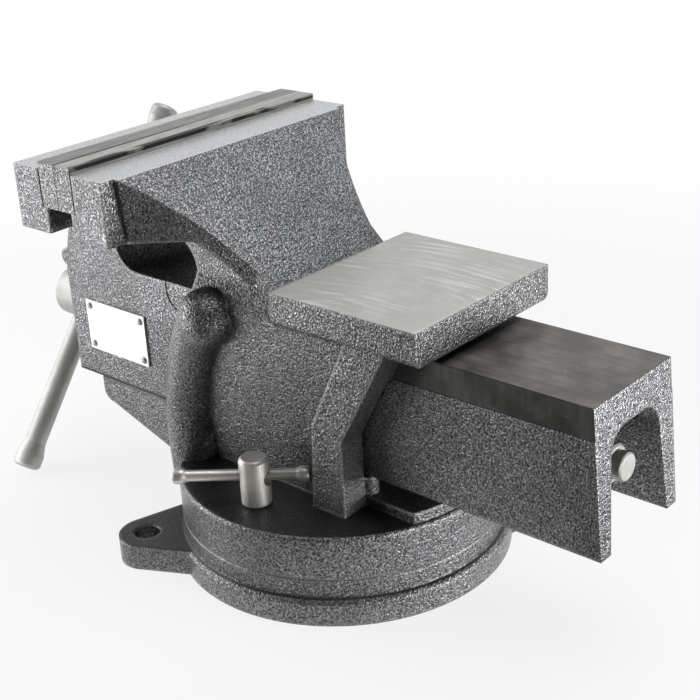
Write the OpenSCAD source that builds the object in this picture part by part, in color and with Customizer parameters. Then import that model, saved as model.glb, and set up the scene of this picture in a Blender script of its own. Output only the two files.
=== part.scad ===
// Swivel bench vise with a cast body, a sliding jaw on a channel beam and a turning base.
// The swivel axis is Z, the bench is z = 0, and the screw runs along Y with its handle at -Y.

/* [Jaws] */
// Width of both jaws
jaw_w = 150; // [130:1:170]
// Height of a jaw head above its underside
jaw_h = 28.7; // [26:0.1:36]
// Height of the jaw tops above the top of the slide
jaw_rise = 62.7; // [56:0.1:70]
// Distance from the swivel axis to the plane where the jaws meet
jaw_reach = 85; // [80:0.5:92]
// Thickness of the fixed jaw at its top
fixed_jaw_t = 22; // [18:0.5:26]
// Thickness of the moving jaw at its top
moving_jaw_t = 17; // [15:0.5:22]
// Step of the jaw under its plate
jaw_lip = 3; // [1.5:0.1:5]
// Width of the square end of a jaw head
horn_w = 6.5; // [4:0.5:10]
// Growth of that square end from the top of the fixed jaw to its underside
horn_draft = 3; // [0:0.5:5]
// Drop of the neck below the underside of a jaw head
neck_drop = 5; // [3:0.5:8]
// Radius in the throat between a jaw and what stands below it
throat_r = 14; // [8:0.5:16]

/* [Jaw plates] */
// Height of a jaw plate
plate_h = 20; // [16:0.5:22]
// Thickness of a jaw plate
plate_t = 11; // [9:0.5:13]
// Height of a jaw plate above the jaw top
plate_proud = 3; // [1:0.5:5]
// Chamfer round the back of a jaw plate
plate_chamfer = 0.8; // [0.4:0.1:1.5]
// Distance between the two screws of a jaw plate
plate_screw_span = 90; // [70:1:100]
// Diameter of a jaw plate screw
plate_screw_d = 8; // [6:0.5:9]
// Diameter of the head of a jaw plate screw
plate_screw_head_d = 15.2; // [13:0.1:16]
// Length of a jaw plate screw
plate_screw_l = 22; // [18:0.5:24]

/* [Body] */
// Width of the anvil, which is the width of the body at its shoulder
anvil_w = 89; // [82:1:98]
// Thickness of the anvil
anvil_t = 15; // [12:0.5:16]
// Height of the anvil face above the roof of the slideway
anvil_rise = 18.2; // [16:0.1:22]
// Front edge of the anvil behind the swivel axis
anvil_front = 6; // [2:0.5:12]
// Rear edge of the anvil behind the swivel axis
anvil_rear = 82; // [76:1:90]
// Drop of the step before the anvil below the anvil's face
step_drop = 4; // [2:0.5:6]
// Width of that step
step_w = 6; // [3:0.5:9]
// Radius of the long lower edges of the anvil
anvil_edge_r = 3; // [1:0.5:5]
// Width of the body where its walls stand on the swivel plate
wall_foot_w = 71.5; // [70:0.5:80]
// Set-back of the walls' upper edge from the side of the anvil
wall_set = 1.5; // [0.5:0.1:3]
// Width of the neck below the fixed jaw
neck_w = 73; // [64:1:76]
// Front of the neck before the swivel axis
neck_front = 45; // [36:0.5:48]
// Radius of the hollow flanks below the fixed jaw
flank_r = 93; // [80:1:110]
// Draft of the hollow flanks over the height of the jaw head
flank_draft = 2.5; // [1:0.5:6]
// Depth of the flanks below the slope behind the fixed jaw
flank_h = 10; // [6:0.5:14]
// Rear end of the walls behind the swivel axis, at the foot
wall_rear = 40; // [36:1:46]
// Lean of the rear end of the walls, from knee to shoulder
wall_rear_lean = 25; // [20:1:34]
// Height of the knee in the rear end of the walls, above the swivel plate
wall_knee_h = 35; // [28:1:38]
// Thickness of the rear ribs along the slide, at the foot
rib_t = 18; // [12:1:20]
// Thickness of the rear ribs along the slide, below the anvil
rib_top_t = 19; // [14:1:24]
// Height of the bend in the front edge of the rear ribs, above the swivel plate
rib_knee_h = 40; // [36:1:46]
// Width over the two rear ribs, at the foot
rib_w = 87; // [80:0.5:88]
// Set-back of the ribs' upper end from the side of the anvil
rib_set = 0.4; // [0.2:0.1:1]
// Forward swell of the rear ribs where they bend
rib_swell = 2.5; // [0:0.5:6]
// Radius of the round bead beside the mouth of the slideway
bead_r = 11.8; // [10:0.1:11.8]
// Radius of the ball at the top of the bead
bead_ball_r = 13.2; // [12:0.1:13.6]
// Offset of that ball behind the end of the bead
bead_ball_back = 2; // [0:0.5:4]
// Bead out from the middle plane, at its foot
bead_side = 37.5; // [36:0.5:40]
// Turn of the bead's curve outwards, in degrees
bead_bow = 14; // [0:1:20]
// Bead before the swivel axis, at its foot
bead_front = 57.5; // [52:0.5:60]
// Radius of the curve of the bead
bead_curve_r = 110; // [100:1:150]
// Height of the start of the bead's curve above the swivel plate
bead_foot_h = 7; // [1:0.5:12]
// Drop of the centre of the bead's round end below the slideway roof
bead_drop = 2.2; // [0:0.1:8]
// Front tip of the nose before the swivel axis
nose_front = 134; // [124:1:138]
// Height of the nose at its tip
nose_tip_h = 12.5; // [10:0.5:16]
// Radius of the lower edge at the tip of the nose
nose_tip_r = 6; // [3:0.5:8]
// Slope of the underside of the nose, in degrees
nose_slope = 18.4; // [14:0.1:21]

/* [Slide] */
// Width of the slide
slide_w = 56; // [52:0.5:58]
// Height of the slide
slide_h = 62.3; // [58:0.1:66]
// Front face of the slide before the swivel axis
slide_front = 151; // [145:0.5:158]
// Rear end of the slide behind the swivel axis, at the top
slide_rear = 149; // [135:1:160]
// Rake of the rear end of the slide from top to bottom
slide_rake = 5; // [2:0.5:9]
// Thickness of the slide above its channel
slide_top_t = 13.8; // [11:0.1:15]
// Thickness of the slide's side walls at the bottom
slide_wall_t = 7; // [5.5:0.1:8]
// Draft of the slide's inner walls on each side, in degrees
slide_draft = 5; // [3:0.5:8]
// Radius of the upper corners of the channel
channel_r = 11; // [8:0.5:14]
// Thickness of the slide's closed front wall
front_wall_t = 14; // [11:0.5:18]
// Height of the machined strip along each upper edge of the slide
strip_h = 13.3; // [10:0.1:16]
// Depth of the machined strip
strip_cut = 0.4; // [0.2:0.1:0.8]
// Front end of the machined strip before the swivel axis
strip_front = 78; // [70:1:84]
// Radius of the run-out at the front of the machined strip
strip_run_out = 9.3; // [4:0.1:9.9]
// Rear face of the moving jaw's arm before the swivel axis
arm_rear = 111; // [107:0.5:114]
// Front edge of the moving jaw's arm, set back from the slide's front face
arm_setback = 5; // [2:0.5:9]
// Height of that edge above the slide
arm_foot_h = 12; // [8:0.5:18]
// Radius of the lip along the top of the slide's front face
lip_r = 4.5; // [3:0.5:6]
// Width of the name plate
name_w = 43; // [36:0.5:48]
// Height of the name plate
name_h = 26; // [20:0.5:30]
// Thickness of the name plate
name_t = 1; // [0.6:0.1:2]
// Height of the name plate's middle above the bottom of the slide
name_rise = 27.8; // [22:0.1:34]
// Front edge of the name plate behind the slide's front face
name_inset = 12.5; // [8:0.5:18]
// Diameter of a rivet's shank in the name plate
rivet_d = 2.4; // [1.6:0.1:3]
// Diameter of a rivet's head
rivet_head_d = 3.8; // [3:0.1:5]
// Length of a rivet below its head
rivet_l = 5; // [3:0.5:7]
// Rivet centres in from the edges of the name plate
rivet_inset = 3; // [2.6:0.1:5]

/* [Spindle] */
// Height of the spindle axis above the bottom of the slide
spindle_rise = 26; // [24:0.5:29]
// Diameter of the screw
screw_d = 16; // [14:0.5:18]
// Diameter of the spindle in the slide's front wall
journal_d = 18; // [17:0.5:20]
// Diameter of the spindle head
head_d = 26; // [24:0.5:30]
// Length of the spindle head
head_l = 31; // [28:0.5:36]
// Diameter of the plain tip
tip_d = 12; // [9:0.5:13]
// Length of the plain tip
tip_l = 5; // [3:0.5:9]
// Rear end of the spindle inside the top rear edge of the slide
tip_inset = 1; // [0:0.5:6]
// Thickness of the boss round the spindle on the slide's front face
boss_t = 2; // [1:0.5:4]
// Diameter of that boss
boss_d = 38; // [34:0.5:44]
// Diameter of the washers on the spindle
washer_d = 30; // [27:0.5:33]
// Thickness of the washers on the spindle
washer_t = 2.5; // [1.5:0.1:3.5]
// Wire of the retaining spring
spring_wire_d = 2.4; // [1.8:0.1:2.8]
// Mean diameter of the retaining spring
spring_d = 24; // [23.5:0.1:26]
// Turns of the retaining spring
spring_turns = 4; // [3:0.5:5]
// Length of the retaining spring
spring_l = 17; // [15:0.5:22]
// Diameter of the split pin
pin_d = 3.2; // [2.5:0.1:4]
// Length of the split pin below its eye
pin_l = 23; // [21:0.5:25]
// Length of the nut along the screw
nut_l = 40; // [32:1:46]
// Front of the nut before the swivel axis
nut_front = 58; // [54:0.5:60]
// Outer diameter of the nut's barrel
nut_d = 30; // [27:0.5:32]
// Width of the web below the nut's barrel
nut_web_w = 24; // [20:1:28]
// Width of the nut's foot
nut_foot_w = 36; // [30:0.5:37]
// Height of the nut's foot
nut_foot_h = 16; // [13:0.5:18]
// Diameter of the two bolts that hold the nut
nut_bolt_d = 8; // [6:0.5:9]
// Distance between those bolts
nut_bolt_pitch = 21; // [17:0.5:23]
// Width across the flats of the bolt heads
nut_bolt_af = 13; // [11:0.5:14]
// Height of the bolt heads
nut_bolt_head_h = 5.5; // [4:0.5:7]

/* [Base] */
// Diameter of the base at the bench
base_d = 155; // [150:1:165]
// Height of the base
base_h = 20.5; // [18:0.5:24]
// Height of the base flange and of its lugs
flange_h = 12; // [9:0.5:13]
// Diameter of the swivel plate and of the band of the base below it
disc_d = 149.4; // [146:0.2:149.6]
// Thickness of the swivel plate
disc_h = 20.2; // [18:0.1:24]
// Radius of the rims of the swivel plate and the base
rim_r = 1.5; // [0.5:0.1:2.5]
// Diameter of the circle through the two lug holes
lug_circle_d = 184; // [180:1:196]
// Diameter of a lug hole
lug_hole_d = 12; // [9:0.5:14]
// Radius of the round end of a lug
lug_tip_r = 13; // [11:0.5:16]
// Angle by which the sides of a lug close in, in degrees
lug_taper = 23.5; // [14:0.5:28]
// Angle from X to the right-hand lug, in degrees
lug_turn = -40; // [-60:1:-20]
// Diameter of the centre spigot under the swivel plate
spigot_d = 30; // [26:1:34]
// Length of the centre spigot
spigot_l = 8; // [5:0.5:12]
// Wall left round the hollows under the base and the swivel plate
hollow_wall = 5; // [4:0.5:6]
// Wall between the hollow under the swivel plate and a lock screw
lock_wall = 2.6; // [2.2:0.1:4]
// Depth of the hollow under the base
base_hollow_h = 9; // [6:0.5:11]
// Depth of the hollow under the swivel plate
disc_hollow_h = 10; // [8:0.5:11]
// Height of the floor pad above the swivel plate
pad_h = 5; // [3:0.5:7]
// Width of the floor pad
pad_w = 60; // [57:0.5:64]
// Ledge of the swivel plate behind the floor pad
pad_ledge = 2; // [1:0.5:6]
// Height of the slide rails above the swivel plate
rail_h = 13.5; // [11:0.5:16]
// Length of the rails behind the foot of the walls
rail_tail = 3; // [1:0.5:18]

/* [Lock] */
// Distance of a lock screw from the swivel axis
lock_reach = 55.2; // [55:0.1:57]
// Diameter of a lock screw's shank
lock_d = 10; // [8:0.5:11]
// Diameter of a lock screw's head
lock_head_d = 13.4; // [12.6:0.1:14]
// Height of a lock screw's head
lock_head_h = 21.8; // [20:0.1:26]
// Height of the cross hole above the swivel plate
lock_hole_h = 13.4; // [12:0.1:16]
// Diameter of a lock bar
bar_d = 5; // [4:0.25:6]
// Length of a lock bar on its outer side
bar_out = 35.4; // [26:0.1:36]
// Length of a lock bar on its inner side
bar_in = 24; // [17:0.1:24.2]
// Diameter of the upset ends of a lock bar
bar_end_d = 7.5; // [6.5:0.25:8]
// Length of the upset ends of a lock bar
bar_end_l = 6.5; // [5:0.5:8]
// Angle from X to the outer end of the right-hand lock bar, in degrees
bar_turn = -52; // [-60:1:-44]
// Height of a tee nut
tee_h = 8; // [6:0.5:8.5]
// Width of a tee nut across the slot
tee_w = 18; // [16:0.5:20]
// Angle that a tee nut spans about the swivel axis, in degrees
tee_span = 22; // [16:1:28]
// Way in for a tee nut, as a multiple of its span
tee_way = 1.3; // [1.1:0.1:1.6]
// Thickness of the base below the tee slot
slot_floor_t = 4.5; // [3.5:0.5:5.5]

/* [Handle] */
// Diameter of the handle bar
handle_d = 11; // [9:0.5:12]
// Length of the handle bar between its caps
handle_l = 175; // [140:1:176]
// Height of the lower end of the handle above the bench
bench_gap = 0.5; // [0.3:0.1:12]
// Lean of the handle bar from the vertical, in degrees
handle_lean = 36.5; // [34:0.5:50]
// Diameter of a handle cap at its outer end
cap_d = 14.3; // [12.6:0.1:16]
// Length of a handle cap
cap_l = 14; // [11:0.5:18]
// Length of the taper at the neck of a handle cap
cap_taper_l = 7; // [4:0.5:9]
// Radius round the end of a handle cap
cap_r = 2.6; // [1:0.1:3.5]
// Diameter of the stud under a handle cap
stud_d = 7; // [5:0.5:8]
// Length of the stud under a handle cap
stud_l = 9; // [6:0.5:10]

/* [Fits] */
// Radial clearance of a turning or sliding fit
run_fit = 0.05; // [0.02:0.01:0.1]
// Gap between flat faces that move past each other
face_gap = 0.3; // [0.2:0.05:0.5]
// Gap between the slide and its slideway
slide_gap = 0.4; // [0.3:0.05:0.6]
// Gap beside the slide below its guides
side_gap = 2; // [1:0.5:4]
// Clearance of a bolt in a plain hole
bolt_gap = 0.2; // [0.1:0.05:0.4]
// Room round a tee nut in its slot
tee_gap = 0.8; // [0.5:0.1:1.2]

/* [Hidden] */
$fn = 64;
paint = "#5f6266";
ground_steel = "#a9abab";
turned_steel = "#b9b6af";
plate_metal = "#dcdedf";
eps = 0.01;
far = 400;

// Heights
disc_z0 = base_h + face_gap;
disc_z1 = disc_z0 + disc_h;
floor_z = disc_z1 + pad_h;
rail_z = disc_z1 + rail_h;
slide_z0 = rail_z + slide_gap;
slide_z1 = slide_z0 + slide_h;
roof_z = slide_z1 + slide_gap;
anvil_z1 = roof_z + anvil_rise;
anvil_z0 = anvil_z1 - anvil_t;
step_z = anvil_z1 - step_drop;
flank_z0 = step_z - flank_h;
jaw_z1 = slide_z1 + jaw_rise;
jaw_z0 = jaw_z1 - jaw_h;
ceiling_z = jaw_z0 - neck_drop;
plate_z1 = jaw_z1 + plate_proud;
plate_z0 = plate_z1 - plate_h;
spindle_z = slide_z0 + spindle_rise;
bead_z0 = disc_z1 + bead_foot_h;
bead_z1 = roof_z - bead_drop;
knee_z = disc_z1 + wall_knee_h;
rib_knee_z = disc_z1 + rib_knee_h;
shoulder_z = anvil_z0 + anvil_edge_r;
bead_foot_z = (disc_z0 + disc_z1) / 2;

// Places along the slide
fixed_seat_y = -jaw_reach + plate_t;
fixed_lip_y = fixed_seat_y - jaw_lip;
fixed_back_y = fixed_seat_y + fixed_jaw_t;
moving_face_y = -jaw_reach - face_gap;
moving_seat_y = moving_face_y - plate_t;
moving_lip_y = moving_seat_y + jaw_lip;
moving_back_y = moving_seat_y - moving_jaw_t;
arm_front_y = -slide_front + arm_setback;
wall_inner_y = -slide_front + front_wall_t;
boss_y = -slide_front - boss_t;
thrust_y = boss_y - face_gap - washer_t;
head_y1 = thrust_y;
head_y0 = head_y1 - head_l;
handle_y = (head_y0 + head_y1) / 2;
spring_y0 = wall_inner_y + face_gap;
spring_y1 = spring_y0 + spring_l;
pin_y = spring_y1 + washer_t + pin_d / 2 + face_gap;
screw_y0 = pin_y + pin_d;
spindle_y1 = slide_rear - tip_inset;
wall_top_rear_y = wall_rear + wall_rear_lean;

// Widths and radii
channel_foot = slide_w / 2 - slide_wall_t;
channel_z1 = slide_z1 - slide_top_t;
channel_spring_z = channel_z1 - channel_r;
channel_top = channel_foot - (channel_spring_z - slide_z0) * tan(slide_draft);
guide_w = slide_w - 2 * strip_cut + 2 * slide_gap;
tunnel_w = slide_w + 2 * side_gap;
bead_turn = asin((bead_z1 - bead_z0) / bead_curve_r);
bead_top_y = bead_curve_r * (1 - cos(bead_turn)) - bead_front;
slot_neck = lock_d / 2 + tee_gap;
slot_half = tee_w / 2 + tee_gap;
slot_roof_z = slot_floor_t + tee_gap + tee_h + face_gap;
tee_z0 = slot_floor_t + tee_gap;
lug_r = lug_circle_d / 2;
nut_mid_y = nut_l / 2 - nut_front;
disc_hollow_z = disc_z0 + disc_hollow_h;
hollow_r0 = spigot_d / 2 + hollow_wall;
hollow_r1 = lock_reach - slot_half - hollow_wall;
disc_hollow_r1 = lock_reach - lock_d / 2 - lock_wall;
nut_bolt_l = floor_z - disc_hollow_z + nut_foot_h - nut_bolt_d / 4;
lock_z0 = tee_z0;
head_edge = 1.2;
handle_drop = spindle_z - bench_gap - cap_r - (cap_d / 2 - cap_r) * sin(handle_lean);
handle_low = handle_drop / cos(handle_lean) + cap_r;
handle_shift = max(0, handle_l / 2 + cap_l - handle_low);

// An outline in Y and Z, drawn out to both sides of the middle plane
module along_x(width) {
  rotate([90, 0, 90]) linear_extrude(width, center = true) children();
}

// An outline in X and Z, drawn out from y0 to y1
module along_y(y0, y1) {
  translate([0, y1, 0]) rotate([90, 0, 0]) linear_extrude(y1 - y0) children();
}

// A round bar on the spindle axis
module on_axis(y0, y1, d, d_end = 0) {
  translate([0, y0, spindle_z])
    rotate([-90, 0, 0])
      cylinder(h = y1 - y0, d1 = d, d2 = d_end == 0 ? d : d_end);
}

// The same shape on both sides of the middle plane
module both_sides() {
  for (side = [0, 1]) mirror([side, 0, 0]) children();
}

// A block between two corners
module block(low, high) {
  translate(low) cube(high - low);
}

// The hollow left in a corner by a round of radius r, pointing to +X and +Y
module corner_fill(r) {
  difference() {
    square(r + eps);
    circle(r);
  }
}

// A rectangle whose two lower corners are round
module round_foot(w, h, r) {
  translate([-w / 2, r]) square([w, h - r]);
  translate([r - w / 2, 0]) square([w - 2 * r, r + eps]);
  for (side = [-1, 1]) translate([side * (w / 2 - r), r]) circle(r);
}

// A ring between two radii, as a turned body
module ring(r0, r1, z0, z1) {
  rotate_extrude() translate([r0, z0]) square([r1 - r0, z1 - z0]);
}

// A disc with a rounded upper rim
module rimmed_disc(r, z0, z1) {
  rotate_extrude() {
    translate([0, z0]) square([r, z1 - z0 - rim_r]);
    translate([0, z1 - rim_r - eps]) square([r - rim_r, rim_r + eps]);
    translate([r - rim_r, z1 - rim_r]) intersection() {
      circle(rim_r);
      square(rim_r);
    }
  }
}

// A base lug along +X, with closing sides and a round end
module lug() {
  side_r = lug_tip_r - 2 * run_fit;
  side_x = lug_r + side_r * sin(lug_taper);
  side_y = side_r * cos(lug_taper);
  root_x = base_d / 2 - lug_tip_r;
  root_y = side_y + (side_x - root_x) * tan(lug_taper);
  linear_extrude(flange_h) {
    polygon([[root_x, -root_y], [side_x, -side_y], [side_x, side_y], [root_x, root_y]]);
    translate([lug_r, 0]) circle(lug_tip_r);
  }
}

// Section of the base flange with its bevelled rim, in radius and height
module flange_section() {
  polygon([
    [0, 0], [base_d / 2, 0], [base_d / 2, flange_h - rim_r], [base_d / 2 - rim_r, flange_h], [0, flange_h]
  ]);
}

module base_plate() {
  color(paint) difference() {
    union() {
      rotate_extrude() flange_section();
      cylinder(h = base_h, d = disc_d);
      for (turn = [0, 180]) rotate(lug_turn + turn) lug();
    }
    // Tee slot round the swivel axis, with a way in for the tee nuts from below
    rotate_extrude() tee_slot_section();
    rotate(lug_turn + 90)
      arc_block((tee_w + tee_gap) / 2, -eps, slot_floor_t + tee_gap, tee_way * tee_span);
    // Bore for the spigot and the hollow underside
    translate([0, 0, -eps]) cylinder(h = base_h + 2 * eps, r = spigot_d / 2 + run_fit);
    ring(hollow_r0, hollow_r1, -eps, base_hollow_h);
    for (turn = [0, 180])
      rotate(lug_turn + turn)
        translate([lug_r, 0, -eps])
          cylinder(h = flange_h + 2 * eps, d = lug_hole_d);
  }
}

// Section of the tee slot, in radius and height
module tee_slot_section() {
  translate([lock_reach - slot_half, slot_floor_t])
    square([2 * slot_half, slot_roof_z - slot_floor_t]);
  translate([lock_reach - slot_neck, slot_roof_z - eps])
    square([2 * slot_neck, base_h - slot_roof_z + 2 * eps]);
}

// A block bent round the swivel axis at the lock screws, centred on +X
module arc_block(half_w, z0, z1, span) {
  rotate(-span / 2)
    rotate_extrude(angle = span)
      translate([lock_reach - half_w, z0])
        square([2 * half_w, z1 - z0]);
}

// Outline of the fixed jaw with its neck, in Y and Z
module fixed_jaw_outline() {
  polygon([
    [-neck_front, roof_z], [-neck_front, ceiling_z], [fixed_lip_y, ceiling_z],
    [fixed_lip_y, plate_z0], [fixed_seat_y, plate_z0], [fixed_seat_y, jaw_z1],
    [fixed_back_y, jaw_z1], [anvil_front - step_w, step_z], [anvil_front + anvil_t, step_z],
    [anvil_front + anvil_t, roof_z]
  ]);
  translate([-neck_front - throat_r, ceiling_z - throat_r]) corner_fill(throat_r);
}

// Outline of what spreads out above the neck: the jaw head and the upper side of its slope
module spread_outline() {
  slope_y = anvil_front - step_w;
  slope = (jaw_z1 - step_z) / (slope_y - fixed_back_y);
  polygon([
    [-far, jaw_z0], [fixed_back_y + (jaw_h - flank_h) / slope, jaw_z0], [slope_y, flank_z0],
    [slope_y, far], [-far, far]
  ]);
}

// Hollow flank beside the neck of the fixed jaw, on the +X side
module fixed_flank() {
  horn_x = jaw_w / 2 - horn_w;
  root_x = horn_x - horn_draft * jaw_z1 / jaw_h;
  centre_x = neck_w / 2 + flank_r;
  centre_y = fixed_back_y + sqrt(flank_r ^ 2 - (centre_x - horn_x) ^ 2);
  depth = jaw_z1 - flank_z0;
  intersection() {
    translate([centre_x, centre_y, flank_z0 - eps])
      cylinder(h = depth + 2 * eps, r1 = flank_r + flank_draft * depth / jaw_h, r2 = flank_r);
    along_y(-far, far) polygon([[0, 0], [root_x, 0], [horn_x, jaw_z1], [horn_x, far], [0, far]]);
  }
  along_y(fixed_back_y - jaw_lip, far)
    polygon([
      [root_x - eps, 0], [horn_x - eps, jaw_z1], [horn_x - eps, far], [jaw_w, far], [jaw_w, 0]
    ]);
}

module fixed_jaw() {
  difference() {
    intersection() {
      along_x(jaw_w) fixed_jaw_outline();
      along_x(jaw_w + 2 * eps) spread_outline();
    }
    both_sides() fixed_flank();
  }
}

// Outline of the walls below the anvil, in Y and Z
module wall_outline() {
  polygon([
    [-bead_front, disc_z0 + rim_r], [-bead_front, bead_z0], [bead_top_y, bead_z1],
    [-neck_front, bead_z1], [-neck_front, shoulder_z], [wall_top_rear_y, shoulder_z],
    [wall_top_rear_y, anvil_z0], [wall_rear, knee_z], [wall_rear, disc_z0 + rim_r]
  ]);
}

// Half of the body's section in X and Z, which leans out to the shoulder and in to the neck
module half_section() {
  polygon([
    [0, 0], [wall_foot_w / 2, 0], [wall_foot_w / 2, disc_z1], [anvil_w / 2 - wall_set, anvil_z0],
    [neck_w / 2, step_z], [neck_w / 2, jaw_z0 + neck_drop], [0, jaw_z0 + neck_drop]
  ]);
}

// Leaning walls and neck, still without the slideway between them
module walls() {
  intersection() {
    along_x(anvil_w) {
      wall_outline();
      fixed_jaw_outline();
    }
    along_y(-far, far) {
      half_section();
      mirror([1, 0]) half_section();
    }
  }
}

// Half of the ribs' section in X and Z, which leans out to the anvil
module half_rib_section() {
  top_x = anvil_w / 2 - rib_set;
  polygon([
    [0, 0], [rib_w / 2, 0], [rib_w / 2, disc_z1], [top_x, anvil_z0], [top_x, shoulder_z], [0, shoulder_z]
  ]);
}

// Flat ribs along the rear ends of the walls
module rear_ribs() {
  intersection() {
    along_x(anvil_w)
      polygon([
        [wall_rear - rib_t, disc_z1 - eps], [wall_rear - rib_t + rib_swell, rib_knee_z],
        [wall_top_rear_y - rib_top_t, shoulder_z], [wall_top_rear_y, shoulder_z],
        [wall_top_rear_y, anvil_z0], [wall_rear, knee_z], [wall_rear, disc_z1 - eps]
      ]);
    along_y(-far, far) {
      half_rib_section();
      mirror([1, 0]) half_rib_section();
    }
  }
}

// Round bead up the +X side of the mouth, bowed back and out, with a ball end
module bead() {
  foot_turn = asin((bead_z0 - bead_foot_z) / bead_curve_r);
  translate([bead_side, -bead_front, bead_z0]) rotate(-bead_bow) {
    translate([0, bead_curve_r, 0])
      rotate([0, 90, 0])
        rotate([0, 0, -90 - bead_turn])
          rotate_extrude(angle = bead_turn + foot_turn)
            translate([bead_curve_r, 0])
              circle(bead_r);
    translate([0, bead_top_y + bead_front + bead_ball_back, bead_z1 - bead_z0]) sphere(bead_ball_r);
  }
}

// Tongue below the slide in front of the mouth
module nose() {
  tip_z = rail_z - nose_tip_h;
  root_y = -neck_front;
  drop_y = -nose_front + nose_tip_r;
  foot_y = drop_y + (tip_z - disc_z0 - rim_r) / tan(nose_slope);
  along_x(slide_w) {
    polygon([
      [-nose_front, rail_z], [-nose_front, tip_z + nose_tip_r], [drop_y, tip_z],
      [foot_y, disc_z0 + rim_r], [root_y, disc_z0 + rim_r], [root_y, rail_z]
    ]);
    translate([drop_y, tip_z + nose_tip_r]) circle(nose_tip_r);
  }
}

// Rails that carry the slide, with round tails behind the walls
module rails() {
  rail_w = tunnel_w / 2 - channel_foot;
  tail_y = wall_rear + rail_tail - rail_w / 2;
  both_sides() {
    block([channel_foot, -nut_front, disc_z1 - eps], [channel_foot + rail_w, tail_y, rail_z]);
    translate([channel_foot + rail_w / 2, tail_y, disc_z1 - eps])
      cylinder(h = rail_h + eps, d = rail_w);
  }
}

// Floor pad that runs back to the rim of the swivel plate
module pad() {
  intersection() {
    block([-pad_w / 2, -nut_front, disc_z1 - eps], [pad_w / 2, far, floor_z]);
    cylinder(h = far, r = disc_d / 2 - pad_ledge);
  }
}

// Space for the slide, with the guides at its top
module slideway() {
  guide_z = slide_z1 - strip_h;
  block([-tunnel_w / 2, -far, rail_z], [tunnel_w / 2, far, guide_z]);
  block([-guide_w / 2, -far, guide_z - eps], [guide_w / 2, far, roof_z]);
  block([-channel_foot, -nut_front - face_gap, floor_z], [channel_foot, far, rail_z + eps]);
}

module body_casting() {
  color(paint) difference() {
    union() {
      rimmed_disc(disc_d / 2, disc_z0, disc_z1);
      translate([0, 0, disc_z0 - spigot_l]) cylinder(h = spigot_l + eps, d = spigot_d);
      fixed_jaw();
      along_y(anvil_front, anvil_rear)
        translate([0, anvil_z0]) round_foot(anvil_w, anvil_t, anvil_edge_r);
      difference() {
        union() {
          walls();
          rear_ribs();
          both_sides() bead();
          nose();
        }
        slideway();
      }
      rails();
      pad();
    }
    // Hollow underside, and holes for the nut's bolts and the lock screws
    ring(hollow_r0, disc_hollow_r1, disc_z0 - eps, disc_hollow_z);
    nut_bolt_places()
      translate([0, 0, disc_hollow_z - eps])
        cylinder(h = floor_z - disc_hollow_z + 2 * eps, r = nut_bolt_d / 2 + bolt_gap);
    both_sides()
      translate([lock_reach, 0, 0])
        cylinder(h = disc_z1 + eps, r = lock_d / 2 + run_fit);
    jaw_screw_places(fixed_seat_y, 1) screw_hole();
  }
}

// Places of the screws behind a jaw plate, each pointing into the jaw
module jaw_screw_places(seat_y, into) {
  for (side = [-1, 1])
    translate([side * plate_screw_span / 2, seat_y, (plate_z0 + jaw_z1) / 2])
      rotate([-90 * into, 0, 0])
        children();
}

// Tapped hole behind a jaw plate
module screw_hole() {
  translate([0, 0, -eps])
    cylinder(h = plate_screw_l - plate_t + plate_screw_d / 4, r = plate_screw_d / 2 + run_fit);
}

// Countersunk screw, seen from the back of its plate
module jaw_screw(shrink) {
  head_h = (plate_screw_head_d - plate_screw_d) / 2;
  top = -plate_t + plate_chamfer;
  translate([0, 0, top])
    cylinder(h = head_h, r1 = plate_screw_d / 2 + head_h - shrink, r2 = plate_screw_d / 2 - shrink);
  translate([0, 0, top + head_h - eps])
    cylinder(h = plate_screw_l - head_h + eps, r = plate_screw_d / 2 - shrink);
}

// Jaw plate between two planes, with its back edges chamfered
module jaw_plate(face_y, seat_y) {
  into = sign(seat_y - face_y);
  difference() {
    translate([0, 0, plate_z0])
      linear_extrude(plate_h)
        polygon([
          [-jaw_w / 2, face_y], [jaw_w / 2, face_y],
          [jaw_w / 2, seat_y - into * plate_chamfer], [jaw_w / 2 - plate_chamfer, seat_y],
          [plate_chamfer - jaw_w / 2, seat_y], [-jaw_w / 2, seat_y - into * plate_chamfer]
        ]);
    along_x(jaw_w + 2 * eps)
      polygon([
        [seat_y - into * plate_chamfer, plate_z0 - eps], [seat_y + into * eps, plate_z0 - eps],
        [seat_y + into * eps, plate_z0 + plate_chamfer]
      ]);
    jaw_screw_places(seat_y, into) {
      translate([0, 0, -plate_t - eps])
        cylinder(h = plate_t + 2 * eps, r = plate_screw_d / 2 + bolt_gap);
      translate([0, 0, -plate_t - eps])
        cylinder(h = plate_chamfer + 2 * eps, r = plate_screw_head_d / 2 + bolt_gap);
      jaw_screw(-bolt_gap);
    }
  }
}

module fixed_jaw_plate() {
  color(ground_steel) jaw_plate(-jaw_reach, fixed_seat_y);
}

module fixed_jaw_screws() {
  color(turned_steel) jaw_screw_places(fixed_seat_y, 1) jaw_screw(0);
}

module moving_jaw_plate() {
  color(ground_steel) jaw_plate(moving_face_y, moving_seat_y);
}

module moving_jaw_screws() {
  color(turned_steel) jaw_screw_places(moving_seat_y, -1) jaw_screw(0);
}

// Outline of the moving jaw's arm with the slide below it, in Y and Z
module moving_jaw_outline() {
  polygon([
    [-slide_front, slide_z0], [-slide_front, slide_z1 - lip_r], [arm_front_y, slide_z1 + arm_foot_h],
    [moving_back_y, jaw_z1], [moving_seat_y, jaw_z1], [moving_seat_y, plate_z0],
    [moving_lip_y, plate_z0], [moving_lip_y, ceiling_z], [-arm_rear, ceiling_z],
    [-arm_rear, slide_z1], [slide_rear, slide_z1], [slide_rear + slide_rake, slide_z0]
  ]);
  translate([-arm_rear + throat_r, slide_z1 + throat_r]) rotate(180) corner_fill(throat_r);
}

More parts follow.
